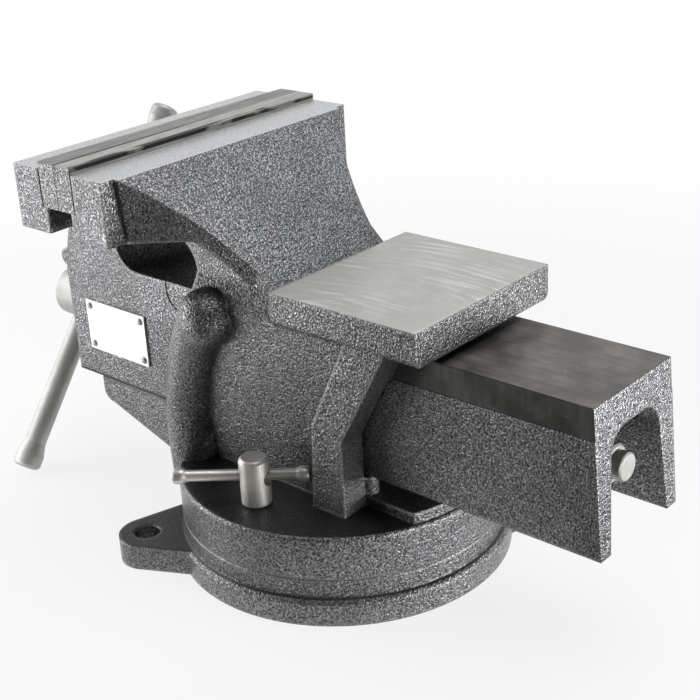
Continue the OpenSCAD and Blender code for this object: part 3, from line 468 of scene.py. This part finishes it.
def casting_paint(name, sizes, colours, dull_and_shaded):
    """Hammertone paint with painted shade in inward corners, worn edges with a painted highlight, boxes
    where it is dull, flatter and painted in shade, and its look to add patches to.
    """
    made, tree = new_finish(name, Specular_IOR_Level=0.55)
    grain = effect(tree, "Hammer Grain", {"Grain": sizes.grain})
    edge = effect(tree, "Rounded Edge", {"Radius": sizes.casting_round})
    crest = times(tree, grain["Crest"], ease(tree, grain["Drift"], 1.0, 0.72))
    # Painted shade: the crests darken in the inward corners
    crest = times(tree, crest, ease(tree, edge["Corner Shade"], 1.0, 0.25))
    tone = blend(tree, crest, colours.paint_valley, colours.paint_crest)
    # Lighter worn paint with a painted highlight along the outward edges
    tone = blend(tree, times(tree, edge["Edge"], 0.4), tone, colours.worn_edge_highlight)
    # Dull paint and painted shade over the given boxes, with flatter relief there
    mask = join(tree, *[zone(tree, low, high) for low, high in dull_and_shaded])
    look = {
        "tone": blend(tree, times(tree, mask, 0.85), tone, colours.dull_paint_and_shade),
        "roughness": ease(tree, crest, 0.34, 0.26),
        "metallic": ease(tree, crest, 0.65, 0.85),
        "height": ease(tree, mask, grain["Height"], times(tree, grain["Height"], 0.5)),
        "normal": edge["Normal"],
    }
    return made, tree, look


def thin_paint(tree, look, colours, boxes):
    """Thin smooth light paint, faintly grained."""
    grain = effect(tree, "Hammer Grain", {"Grain": THIN_GRAIN})
    base = colours.smooth_paint
    tone = blend(tree, grain["Crest"], shade(base, 0.62), base)
    roughness = ease(tree, grain["Drift"], 0.40, 0.50)
    height = times(tree, grain["Height"], 0.10)
    patch(tree, look, boxes, tone, roughness=roughness, metallic=0.55, height=height)


def milled_face(tree, look, colours, boxes):
    """Ground steel with faint milled arcs and cloudy stains."""
    arcs = effect(tree, "Milled Arcs", {"Centre": MILL_CENTRE})["Arc"]
    marks = effect(tree, "Tool Marks", {"Stretch": (1.0, 1.0, 1.0), "Scale": FACE_MARKS})
    base = colours.ground_steel
    tone = blend(tree, times(tree, marks["Stain"], 0.55), base, shade(base, 0.74))
    tone = blend(tree, times(tree, arcs, 0.75), tone, shade(base, 1.4))
    tone = blend(tree, times(tree, marks["Streak"], 0.12), tone, shade(base, 0.7))
    roughness = ease(tree, marks["Stain"], 0.36, 0.46)
    patch(tree, look, boxes, tone, roughness=roughness, metallic=0.92, height=times(tree, arcs, 0.05))


def oiled_iron(tree, look, base, boxes, stretch, rough):
    """Dark machined iron with an oily bloom, scratches and light rubbed spots."""
    marks = effect(tree, "Tool Marks", {"Stretch": stretch, "Scale": SLIDE_MARKS})
    tone = blend(tree, marks["Stain"], shade(base, 0.68), shade(base, 1.3))
    tone = blend(tree, times(tree, marks["Streak"], 0.5), tone, shade(base, 0.55))
    spots = noise(tree, own_place(tree), SPOT_SCALE)["Fac"]
    tone = blend(tree, remap(tree, spots, 0.70, 0.76), tone, shade(base, 2.2))
    roughness = ease(tree, marks["Stain"], rough, rough + 0.12)
    height = times(tree, marks["Height"], 0.06)
    patch(tree, look, boxes, tone, roughness=roughness, metallic=0.80, height=height)


def worked_steel(name, base, sizes, rough, stretch=(1.0, 1.0, 1.0), scale=900.0, stain=0.35, metal=1.0):
    """Bare metal with streaks of the tool, stains, and edges lighter for wear and a painted highlight."""
    made, tree = new_finish(name)
    edge = effect(tree, "Rounded Edge", {"Radius": sizes.steel_round})
    marks = effect(tree, "Tool Marks", {"Stretch": stretch, "Scale": scale})
    tone = blend(tree, times(tree, marks["Stain"], stain), base, shade(base, 0.62))
    look = {
        # Lighter edges: wear and a painted highlight
        "tone": blend(tree, times(tree, edge["Edge"], 0.6), tone, shade(base, 1.4)),
        "roughness": ease(tree, marks["Streak"], rough - 0.05, rough + 0.08),
        "metallic": ease(tree, marks["Stain"], metal, metal * 0.9),
        "height": marks["Height"],
        "normal": edge["Normal"],
    }
    close_finish(tree, look, 0.06, 0.06 * MM)
    return made


def diamond_height(tree, place, pitch):
    """Height of a diamond serration in the plane of X and Z."""
    sides = []
    for operation in ("ADD", "SUBTRACT"):
        along = math_node(tree, operation, place[0], place[2])
        phase = math_node(tree, "PINGPONG", math_node(tree, "DIVIDE", along, pitch), 0.5)
        sides.append(times(tree, phase, 2.0))
    return times(tree, *sides)


def jaw_plate_steel(name, sizes, colours, low, high, face_y, bright, stripe):
    """Ground jaw plate with serrated face, painted ends and, on one plate, a black stripe along its back,
    with painted shade in its grooves, its joint to the jaw and its seam.
    """
    made, tree = new_finish(name)
    edge = effect(tree, "Rounded Edge", {"Radius": sizes.steel_round})
    grain = effect(tree, "Hammer Grain", {"Grain": sizes.grain})
    marks = effect(tree, "Tool Marks", {"Stretch": (0.05, 1.0, 1.0), "Scale": PLATE_MARKS})
    place = split(tree, own_place(tree))
    base = shade(colours.ground_steel, bright)
    look = {
        "tone": blend(tree, times(tree, marks["Streak"], 0.8), base, shade(base, 0.45)),
        "roughness": ease(tree, marks["Streak"], 0.34, 0.48),
        "metallic": ease(tree, marks["Stain"], 1.0, 0.92),
        "height": times(tree, marks["Height"], 0.05),
        "normal": edge["Normal"],
    }
    # Diamond serration on the gripping face, with painted shade in its grooves
    near = 0.1 * MM
    face = zone(tree, (low.x, face_y - near, low.z), (high.x, face_y + near, high.z), SHARP)
    diamond = diamond_height(tree, place, sizes.serration)
    lay(tree, look, face, blend(tree, diamond, shade(base, 0.35), base), height=diamond)
    # Hammertone on the two ends, with a painted shadow line where the plate meets its jaw
    rim = 0.25 * MM
    ends = join(tree, *[
        zone(tree, (x - rim, low.y, low.z), (x + rim, high.y, high.z), SHARP) for x in (high.x, low.x)
    ])
    paint = blend(tree, grain["Crest"], colours.paint_valley, colours.paint_crest)
    line = 0.7 * MM
    back_y = low.y + high.y - face_y
    shadow_line_low = (low.x - rim, back_y - line, low.z)
    shadow_line_high = (high.x + rim, back_y + line, high.z)
    paint = blend(tree, zone(tree, shadow_line_low, shadow_line_high, 0.1 * MM), paint, GAP_SHADOW)
    lay(tree, look, ends, paint, roughness=0.32, metallic=0.7, height=grain["Height"])
    # Painted shade in the seam where the two plates meet, fading along the jaw
    deep = 0.4 * MM
    seam_low = (low.x, face_y - line, high.z - deep)
    seam_high = (high.x, face_y + line, high.z + deep)
    fade = remap(tree, place[0], -0.03, 0.02)
    lay(tree, look, times(tree, zone(tree, seam_low, seam_high, 0.2 * MM), fade), SEAM_SHADE)
    if stripe:
        # A black stripe with light rubbed patches along the back edge of the top and down its step
        worn = effect(tree, "Tool Marks", {"Stretch": (0.30, 1.0, 1.0), "Scale": STRIPE_MARKS})
        stripe_low = (low.x, high.y - 3.4 * MM, high.z - 2 * MM)
        stripe_high = (high.x, high.y + 1 * MM, high.z + 1 * MM)
        back = zone(tree, stripe_low, stripe_high, 0.5 * MM)
        stripe_tone = blend(tree, remap(tree, worn["Streak"], 0.55, 0.85), STRIPE_BLACK, STRIPE_RUBBED)
        lay(tree, look, back, stripe_tone, roughness=0.60, metallic=0.05)
    close_finish(tree, look, 0.6, 0.4 * MM)
    return made


def wear(finish, *nodes):
    """Gives CAD nodes their finish."""
    for node in nodes:
        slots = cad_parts[node].data.materials
        slots.clear()
        slots.append(finish)


def new_piece(name, shape, finish, body, slot, *nodes):
    """Turns a bmesh into a piece that rides on a body and stands for CAD nodes."""
    bmesh.ops.remove_doubles(shape, verts=shape.verts, dist=MERGE)
    bmesh.ops.recalc_face_normals(shape, faces=shape.faces)
    mesh = bpy.data.meshes.new(name)
    shape.to_mesh(mesh)
    shape.free()
    for face in mesh.polygons:
        face.use_smooth = True
    mesh.set_sharp_from_angle(angle=SHARP_ANGLE)
    mesh.materials.append(finish)
    piece = bpy.data.objects.new(name, mesh)
    bpy.context.scene.collection.objects.link(piece)
    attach(piece, body)
    if nodes:
        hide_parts(*nodes)
    return piece


def outline(shape, points, closed=False):
    """A chain of edges through points."""
    verts = [shape.verts.new(p) for p in points]
    edges = [shape.edges.new(pair) for pair in zip(verts, verts[1:])]
    if closed:
        edges.append(shape.edges.new((verts[-1], verts[0])))
    return verts, edges


def verts_of(geom):
    """The vertices in a bmesh operator's result."""
    return [item for item in geom if isinstance(item, bmesh.types.BMVert)]


def open_edges(geom):
    """The edges in a bmesh operator's result that border one face."""
    return [item for item in geom if isinstance(item, bmesh.types.BMEdge) and item.is_boundary]


def turned(points, place, segments):
    """A body turned about a place's Y axis from points of Y and radius."""
    shape = bmesh.new()
    verts, edges = outline(shape, [(radius, y, 0.0) for y, radius in points])
    bmesh.ops.spin(
        shape,
        geom=verts + edges,
        cent=(0.0, 0.0, 0.0),
        axis=(0.0, 1.0, 0.0),
        angle=2 * math.pi,
        steps=segments,
        use_merge=True,
    )
    bmesh.ops.transform(shape, matrix=place, verts=shape.verts)
    return shape


def wound(points, pitch, turns, steps, closed):
    """Points of Y and radius wound about the spindle axis, moving one pitch a turn."""
    shape = bmesh.new()
    verts, edges = outline(shape, [(radius, y, SPINDLE_Z) for y, radius in points], closed)
    bmesh.ops.spin(
        shape,
        geom=verts + edges,
        cent=(0.0, 0.0, SPINDLE_Z),
        axis=(0.0, 1.0, 0.0),
        dvec=(0.0, pitch / steps, 0.0),
        angle=2 * math.pi * turns,
        steps=int(round(steps * turns)),
    )
    bmesh.ops.remove_doubles(shape, verts=shape.verts, dist=WELD)
    bmesh.ops.holes_fill(shape, edges=open_edges(shape.edges), sides=0)
    return shape


def drill(radius, depth, place, segments):
    """A cylinder along a place's Z axis, to cut with."""
    shape = bmesh.new()
    bmesh.ops.create_cone(
        shape,
        cap_ends=True,
        segments=segments,
        radius1=radius,
        radius2=radius,
        depth=depth,
        matrix=place,
    )
    return shape


def cut_away(piece, cutter_shape):
    """Cuts a bmesh out of a piece for good."""
    mesh = bpy.data.meshes.new("cutter")
    cutter_shape.to_mesh(mesh)
    cutter_shape.free()
    cutter = bpy.data.objects.new("cutter", mesh)
    bpy.context.scene.collection.objects.link(cutter)
    cut = piece.modifiers.new("Cross Hole", "BOOLEAN")
    cut.operation = "DIFFERENCE"
    cut.solver = "EXACT"
    cut.object = cutter
    bpy.context.view_layer.update()
    ready = piece.evaluated_get(bpy.context.evaluated_depsgraph_get())
    result = bpy.data.meshes.new_from_object(ready)
    piece.modifiers.clear()
    stripe_tone = piece.data
    piece.data = result
    piece.data.name = piece.name
    bpy.data.meshes.remove(stripe_tone)
    bpy.data.objects.remove(cutter)
    bpy.data.meshes.remove(mesh)


def level(z, half_x=FAR, front=-FAR, back=FAR):
    """A thin box around a level face."""
    return (-half_x, front, z - SKIN), (half_x, back, z + SKIN)


class VISE_OT_castings(bpy.types.Operator):
    """Paint the castings and bare their ground and machined faces"""

    bl_idname = "vise.castings"
    bl_label = "Paint Castings"

    def execute(self, context):
        sizes, colours = context.scene.vise_sizes, context.scene.vise_colours
        jaw_tops = [level(JAW_TOP, back=0.0)]

        # A painted shadow line under the nose's top edge, and dull paint with painted shade on the swivel
        # plate's top
        nose_shadow_line = (-NOSE_X, -FAR, RAIL_TOP - NOSE_SHADE), (NOSE_X, NOSE_BACK, RAIL_TOP + SKIN)
        body, tree, look = casting_paint("Body Hammertone", sizes, colours, [level(PLATE_TOP), nose_shadow_line])
        thin_paint(tree, look, colours, jaw_tops)
        milled_face(tree, look, colours, [level(ANVIL_TOP, front=ANVIL_FRONT, back=ANVIL_BACK)])
        close_finish(tree, look, 1.0, PAINT_RELIEF)
        wear(body, "body_casting")

        # A painted shadow line along the slide's joint with the nose
        joint_shadow_line = (-FAR, -FAR, RAIL_TOP), (FAR, NOSE_BACK, RAIL_TOP + JOINT_SHADE)
        slide, tree, look = casting_paint("Slide Hammertone", sizes, colours, [joint_shadow_line])
        thin_paint(tree, look, colours, jaw_tops)
        slide_top = [level(SLIDE_TOP, SLIDE_TOP_X, SLIDE_BARE_Y)]
        oiled_iron(tree, look, colours.slide_iron, slide_top, (1.0, 0.10, 1.0), 0.36)
        strips = [
            ((x - SKIN, SLIDE_BARE_Y, STRIP_LOW), (x + SKIN, FAR, SLIDE_TOP + SKIN))
            for x in (-STRIP_X, STRIP_X)
        ]
        oiled_iron(tree, look, colours.strip_iron, strips, (1.0, 1.0, 0.12), 0.40)
        close_finish(tree, look, 1.0, PAINT_RELIEF)
        wear(slide, "moving_jaw_casting")

        # Dull paint with painted shade on the lugs' tops
        base, tree, look = casting_paint("Base Hammertone", sizes, colours, [level(LUG_TOP)])
        close_finish(tree, look, 1.0, PAINT_RELIEF)
        wear(base, "base_plate")

        iron = worked_steel("Bare Iron", colours.bare_iron, sizes, 0.6, scale=500.0, stain=0.5, metal=0.7)
        wear(iron, "spindle_nut", "tee_nut_right", "tee_nut_left")
        return {"FINISHED"}


class VISE_OT_jaw_plates(bpy.types.Operator):
    """Finish the jaw plates and the name plate"""

    bl_idname = "vise.jaw_plates"
    bl_label = "Finish Plates"

    def execute(self, context):
        sizes, colours = context.scene.vise_sizes, context.scene.vise_colours
        low, high = FIXED_PLATE_LOW, FIXED_PLATE_HIGH
        fixed = jaw_plate_steel(
            "Fixed Jaw Plate", sizes, colours, low, high, low.y, bright=1.05, stripe=True
        )
        wear(fixed, "fixed_jaw_plate")
        low, high = MOVING_PLATE_LOW, MOVING_PLATE_HIGH
        moving = jaw_plate_steel(
            "Moving Jaw Plate", sizes, colours, low, high, high.y, bright=0.62, stripe=False
        )
        wear(moving, "moving_jaw_plate")
        aluminium = worked_steel(
            "Name Plate Metal", colours.aluminium, sizes, 0.42,
            stretch=(1.0, 0.05, 1.0), scale=1500.0, stain=0.10, metal=0.35,
        )
        wear(aluminium, "name_plate")
        rivets = worked_steel("Rivet Metal", shade(colours.turned_steel, 0.75), sizes, 0.5, metal=0.7)
        wear(rivets, "name_plate_rivets")
        return {"FINISHED"}


class VISE_OT_steel(bpy.types.Operator):
    """Finish the turned steel pieces"""

    bl_idname = "vise.steel"
    bl_label = "Finish Steel"

    def execute(self, context):
        sizes, base = context.scene.vise_sizes, context.scene.vise_colours.turned_steel
        spindle = worked_steel(
            "Turned Steel", shade(base, 0.72), sizes, 0.48, scale=800.0, stain=0.40, metal=0.65
        )
        wear(spindle, "spindle", "thrust_washer", "spring_washer", "split_pin", "spindle_nut_bolts")
        plated = [c * tint for c, tint in zip(base, PLATED_TINT)]
        lock = worked_steel(
            "Plated Lock Steel", shade(plated, 1.1), sizes, 0.44,
            stretch=(1.0, 1.0, 0.2), scale=700.0, stain=0.55, metal=0.85,
        )
        wear(lock, "lock_screw_right", "lock_screw_left", "lock_bar_right", "lock_bar_left")
        handle = worked_steel(
            "Handle Steel", shade(base, 0.90), sizes, 0.52,
            stretch=(1.0, 1.0, 0.3), scale=600.0, stain=0.40, metal=0.55,
        )
        wear(handle, "handle_bar", "handle_cap_upper", "handle_cap_lower")
        return {"FINISHED"}


class VISE_OT_spindle(bpy.types.Operator):
    """Turn the spindle with its cross-drilled head and cut its thread"""

    bl_idname = "vise.spindle"
    bl_label = "Cut Spindle Thread"

    def execute(self, context):
        sizes = context.scene.vise_sizes
        finish = bpy.data.materials["Turned Steel"]
        start, end = SPINDLE_LOW.y, SPINDLE_HIGH.y
        head_end = start + HEAD_LENGTH
        core = SCREW_R - sizes.screw_depth
        tip = end - TIP_LENGTH
        front_round, back_round, tip_round = 1.2 * MM, 0.6 * MM, 0.7 * MM
        collar, collar_round = 2.4 * MM, 0.9 * MM
        neck, neck_end, neck_r = 0.8 * MM, 1.2 * MM, TIP_R - 0.6 * MM
        points = [
            (start, 0.0), (start, HEAD_R - front_round), (start + front_round, HEAD_R),
            (head_end - back_round, HEAD_R), (head_end, HEAD_R - back_round), (head_end, JOURNAL_R),
            (JOURNAL_END - 1 * MM, JOURNAL_R), (JOURNAL_END, SCREW_R), (JOURNAL_END, core),
            (tip - collar, core), (tip - collar, SCREW_R - back_round), (tip - collar + back_round, SCREW_R),
            (tip - collar_round, SCREW_R), (tip, SCREW_R - collar_round), (tip, neck_r),
            (tip + neck, neck_r), (tip + neck_end, TIP_R), (end - tip_round, TIP_R),
            (end, TIP_R - tip_round), (end, 0.0),
        ]
        axis = Matrix.Translation((0.0, 0.0, SPINDLE_Z))
        round_bar = turned(points, axis, SPINDLE_SEGMENTS)
        bar = new_piece("spindle_bar", round_bar, finish, "spindle", "turned_steel", "spindle")
        middle = Matrix.Translation((0.0, (start + head_end) / 2, SPINDLE_Z))
        leaning = middle @ Matrix.Rotation(-HANDLE_LEAN, 4, "Y")
        cut_away(bar, drill(HANDLE_HOLE_R, HANDLE_HOLE_DEPTH, leaning, HEAD_SEGMENTS))

        pitch = sizes.screw_pitch
        crest = SCREW_R - 0.05 * MM
        first = JOURNAL_END - 1.5 * pitch
        turns = math.floor((tip - 2.0 * MM - first) / pitch) - 1
        ridge = [(0.0, core), (0.19, core), (0.34, crest), (0.66, crest), (0.81, core), (1.0, core)]
        ridge = [(first + share * pitch, radius) for share, radius in ridge]
        thread = wound(ridge, pitch, turns, THREAD_STEPS, False)
        new_piece("spindle_thread", thread, finish, "spindle", "turned_steel")
        return {"FINISHED"}


class VISE_OT_locks(bpy.types.Operator):
    """Turn the lock screws with their wide cross holes, and their bars with upset ends"""

    bl_idname = "vise.locks"
    bl_label = "Turn Lock Screws"

    def execute(self, context):
        finish = bpy.data.materials["Plated Lock Steel"]
        low, seat, top = LOCK_LOW.z / MM, LOCK_SEAT, LOCK_HIGH.z / MM
        screw = [
            (low, 0), (low, 4.4), (low + 0.6, 5), (seat, 5), (seat, 6.2), (seat + 0.5, 6.7),
            (top - 1.5, 6.7), (top - 1.2, 6.62), (top - 0.25, 5.65), (top, 5.3), (top - 0.12, 4.9),
            (top - 0.12, 0),
        ]
        for side, word in ((1, "right"), (-1, "left")):
            upright = Matrix.Translation((side * LOCK_X, 0.0, 0.0)) @ Matrix.Rotation(math.pi / 2, 4, "X")
            head = new_piece(
                "lock_head_" + word,
                turned([(z * MM, r * MM) for z, r in screw], upright, HEAD_SEGMENTS),
                finish, "lock_" + word, "turned_steel", "lock_screw_" + word,
            )
            heading = math.atan2(math.sin(BAR_TURN), side * math.cos(BAR_TURN)) - math.pi / 2
            middle = Matrix.Translation((side * LOCK_X, 0.0, LOCK_HOLE_Z))
            across = middle @ Matrix.Rotation(heading, 4, "Z")
            loose = across @ Matrix.Rotation(side * HOLE_SKEW, 4, "Z") @ Matrix.Rotation(math.pi / 2, 4, "X")
            lower = Matrix.Translation((0.0, 0.0, -LOCK_HOLE_DROP))
            cut_away(head, drill(LOCK_HOLE_R, LOCK_HOLE_DEPTH, lower @ loose, BAR_SEGMENTS))
            new_piece(
                "lock_rod_" + word,
                turned([(y * MM, r * MM) for y, r in BAR_OUTLINE], across, BAR_SEGMENTS),
                finish, "bar_" + word, "turned_steel", "lock_bar_" + word,
            )
        return {"FINISHED"}


class VISE_OT_spring(bpy.types.Operator):
    """Wind the retaining spring behind the jaw's front wall"""

    bl_idname = "vise.spring"
    bl_label = "Wind Spring"

    def execute(self, context):
        sizes, colours = context.scene.vise_sizes, context.scene.vise_colours
        finish = worked_steel("Spring Steel", shade(colours.turned_steel, 0.6), sizes, 0.32)
        first = SPRING_LOW.y + WIRE_R
        pitch = (SPRING_HIGH.y - SPRING_LOW.y - 2 * WIRE_R) / sizes.wire_turns
        angles = [2 * math.pi * k / WIRE_POINTS for k in range(WIRE_POINTS)]
        ring = [(first + WIRE_R * math.sin(a), WIRE_MEAN_R + WIRE_R * math.cos(a)) for a in angles]
        coil = wound(ring, pitch, sizes.wire_turns, WIRE_STEPS, True)
        new_piece("spring_coil", coil, finish, "spindle", "turned_steel", "retaining_spring")
        return {"FINISHED"}


def socket_screw(place):
    """A countersunk screw with a hexagon socket, whose head faces up a place's Z axis."""
    shape = bmesh.new()
    drop = JAW_SCREW_HEAD_R - JAW_SCREW_R
    taper = JAW_SCREW_R / JAW_SCREW_HEAD_R
    rim = bmesh.ops.create_circle(
        shape, segments=JAW_SCREW_SEGMENTS, radius=JAW_SCREW_HEAD_R, cap_ends=False
    )["verts"]
    angles = [math.pi / 3 * k for k in range(7)]
    corners = [Vector((KEY_R * math.cos(a), KEY_R * math.sin(a), 0.0)) for a in angles]
    hexagon = []
    for first, second in zip(corners, corners[1:]):
        hexagon += [first.lerp(second, k / KEY_SPLITS) for k in range(KEY_SPLITS)]
    _, key_edges = outline(shape, hexagon, True)
    rim_edges = list({e for v in rim for e in v.link_edges})
    bmesh.ops.bridge_loops(shape, edges=rim_edges + key_edges)
    key = bmesh.ops.extrude_edge_only(shape, edges=key_edges)["geom"]
    bmesh.ops.translate(shape, verts=verts_of(key), vec=(0.0, 0.0, -KEY_DEPTH))
    bmesh.ops.contextual_create(shape, geom=open_edges(key))
    skirt = bmesh.ops.extrude_edge_only(shape, edges=rim_edges)["geom"]
    bmesh.ops.scale(shape, verts=verts_of(skirt), vec=(taper, taper, 1.0))
    bmesh.ops.translate(shape, verts=verts_of(skirt), vec=(0.0, 0.0, -drop))
    shaft = bmesh.ops.extrude_edge_only(shape, edges=open_edges(skirt))["geom"]
    bmesh.ops.translate(shape, verts=verts_of(shaft), vec=(0.0, 0.0, drop - JAW_SCREW_LENGTH))
    bmesh.ops.contextual_create(shape, geom=open_edges(shaft))
    bmesh.ops.transform(shape, matrix=place, verts=shape.verts)
    return shape


class VISE_OT_screws(bpy.types.Operator):
    """Fit socket screws in the jaw plates"""

    bl_idname = "vise.screws"
    bl_label = "Fit Jaw Screws"

    def execute(self, context):
        finish = worked_steel("Black Screw Steel", SCREW_BLACK, context.scene.vise_sizes, 0.42)
        for node, body, turn in (
            ("fixed_jaw_screws", "swivel_body", math.pi / 2),
            ("moving_jaw_screws", "moving_jaw", -math.pi / 2),
        ):
            low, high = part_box(node)
            face_y = low.y if turn > 0 else high.y
            both = bmesh.new()
            for x in (low.x + JAW_SCREW_HEAD_R, high.x - JAW_SCREW_HEAD_R):
                middle = Matrix.Translation((x, face_y, (low.z + high.z) / 2))
                one = socket_screw(middle @ Matrix.Rotation(turn, 4, "X"))
                mesh = bpy.data.meshes.new("screw")
                one.to_mesh(mesh)
                one.free()
                both.from_mesh(mesh)
                bpy.data.meshes.remove(mesh)
            new_piece(node.replace("_screws", "_socket_screws"), both, finish, body, "turned_steel", node)
        return {"FINISHED"}


def lamp(name, place, target, size, power):
    """A rectangular soft light that points at a target."""
    light = bpy.data.lights.new(name, "AREA")
    light.shape = "RECTANGLE"
    light.size, light.size_y = size
    light.energy = power
    made = bpy.data.objects.new(name, light)
    made.visible_camera = False
    made.location = place
    made.rotation_euler = (Vector(target) - Vector(place)).to_track_quat("-Z", "Y").to_euler()
    bpy.context.scene.collection.objects.link(made)


def studio_rays(tree):
    """The light path's outputs, and a mask of the rays that the camera sees."""
    rays = put(tree, "ShaderNodeLightPath").outputs
    return rays, math_node(tree, "MAXIMUM", rays["Is Camera Ray"], rays["Is Transmission Ray"])


def to_camera(tree, vector):
    """How far a vector goes toward the camera's side."""
    links = {0: vector, 1: TOWARD_CAMERA}
    return put(tree, "ShaderNodeVectorMath", links, operation="DOT_PRODUCT").outputs["Value"]


def floor_finish():
    """A pale floor that the camera sees as white, graded where steel and paint reflect it."""
    made = bpy.data.materials.new("Pale Floor")
    made.use_nodes = True
    tree = made.node_tree
    tree.nodes.clear()
    rays, seen = studio_rays(tree)
    place = own_place(tree)
    away = put(tree, "ShaderNodeVectorMath", {0: place}, operation="LENGTH").outputs["Value"]
    share = times(tree, seen, remap(tree, away, *FLOOR_FADE))
    share = math_node(tree, "MAXIMUM", share, rays["Is Glossy Ray"])
    before = to_camera(tree, place)
    board = join(
        tree,
        remap(tree, split(tree, place)[1], *BOARD_LEFT),
        remap(tree, before, *BOARD_FRONT),
        remap(tree, away, *BOARD_NEAR),
    )
    board = ease(tree, remap(tree, before, *BOARD_START), 1.0, board)
    strength = ease(tree, rays["Is Glossy Ray"], 1.0, board)
    matt = put(tree, "ShaderNodeBsdfDiffuse", {"Color": FLOOR_GREY})
    white = put(tree, "ShaderNodeEmission", {"Color": WHITE, "Strength": strength})
    both = put(tree, "ShaderNodeMixShader", {0: share, 1: matt.outputs[0], 2: white.outputs[0]})
    put(tree, "ShaderNodeOutputMaterial", {"Surface": both.outputs[0]})
    return made


def studio_world():
    """Weak surroundings, lighter behind the vise, that the camera sees as white."""
    world = bpy.data.worlds.new("Studio")
    world.use_nodes = True
    tree = world.node_tree
    tree.nodes.clear()
    rays, seen = studio_rays(tree)
    front = to_camera(tree, put(tree, "ShaderNodeTexCoord").outputs["Generated"])
    wall = remap(tree, front, *WALL_FADE)
    strength = times(tree, wall, ease(tree, rays["Is Glossy Ray"], WALL_LEVEL, WALL_GLOSS))
    soft = put(tree, "ShaderNodeBackground", {"Color": WALL_TINT, "Strength": strength})
    white = put(tree, "ShaderNodeBackground", {"Color": WHITE, "Strength": 1.0})
    both = put(tree, "ShaderNodeMixShader", {0: seen, 1: soft.outputs[0], 2: white.outputs[0]})
    put(tree, "ShaderNodeOutputWorld", {"Surface": both.outputs[0]})
    return world


class VISE_OT_studio(bpy.types.Operator):
    """Set the pale floor, the soft lights and the camera"""

    bl_idname = "vise.studio"
    bl_label = "Set Studio"

    def execute(self, context):
        scene = context.scene
        scene.view_settings.view_transform = "Standard"
        shape = bmesh.new()
        bmesh.ops.create_grid(shape, x_segments=1, y_segments=1, size=FLOOR_SIZE)
        mesh = bpy.data.meshes.new("floor")
        shape.to_mesh(mesh)
        shape.free()
        floor = bpy.data.objects.new("floor", mesh)
        scene.collection.objects.link(floor)
        mesh.materials.append(floor_finish())
        scene.world = studio_world()
        for name, (place, target, size, power) in LAMPS.items():
            lamp(name, place, target, size, power)
        camera = bpy.data.cameras.new("camera")
        camera.lens = CAMERA_LENS
        camera.sensor_width = CAMERA_SENSOR
        camera.dof.use_dof = False
        eye = bpy.data.objects.new("camera", camera)
        turn = Matrix((CAMERA_RIGHT, CAMERA_UP, CAMERA_BACK)).transposed().to_4x4()
        eye.matrix_world = Matrix.Translation(CAMERA_PLACE) @ turn
        scene.collection.objects.link(eye)
        scene.camera = eye
        return {"FINISHED"}


class VISE_PT_panel(bpy.types.Panel):
    """Lists the steps that finish the vise"""

    bl_idname = "VISE_PT_panel"
    bl_label = "Bench Vise"
    bl_space_type = "VIEW_3D"
    bl_region_type = "UI"
    bl_category = "Vise"

    def draw(self, context):
        column = self.layout.column()
        for operator in OPERATORS:
            column.operator(operator.bl_idname)
        for group in (context.scene.vise_sizes, context.scene.vise_colours):
            box = self.layout.box()
            for name in group.__annotations__:
                box.prop(group, name)


OPERATORS = (
    VISE_OT_studio,
    VISE_OT_castings,
    VISE_OT_jaw_plates,
    VISE_OT_steel,
    VISE_OT_spindle,
    VISE_OT_locks,
    VISE_OT_spring,
    VISE_OT_screws,
)
CLASSES = (ViseSizes, ViseColours, *OPERATORS, VISE_PT_panel)


def register():
    """Adds the classes and the settings to Blender."""
    for one in CLASSES:
        bpy.utils.register_class(one)
    bpy.types.Scene.vise_sizes = PointerProperty(type=ViseSizes)
    bpy.types.Scene.vise_colours = PointerProperty(type=ViseColours)


def unregister():
    """Takes the classes and the settings out again."""
    del bpy.types.Scene.vise_colours
    del bpy.types.Scene.vise_sizes
    for one in reversed(CLASSES):
        bpy.utils.unregister_class(one)


def main():
    """Finishes the vise."""
    register()
    bpy.ops.vise.studio()
    bpy.ops.vise.castings()
    bpy.ops.vise.jaw_plates()
    bpy.ops.vise.steel()
    bpy.ops.vise.spindle()
    bpy.ops.vise.locks()
    bpy.ops.vise.spring()
    bpy.ops.vise.screws()


if __name__ == "__main__":
    main()
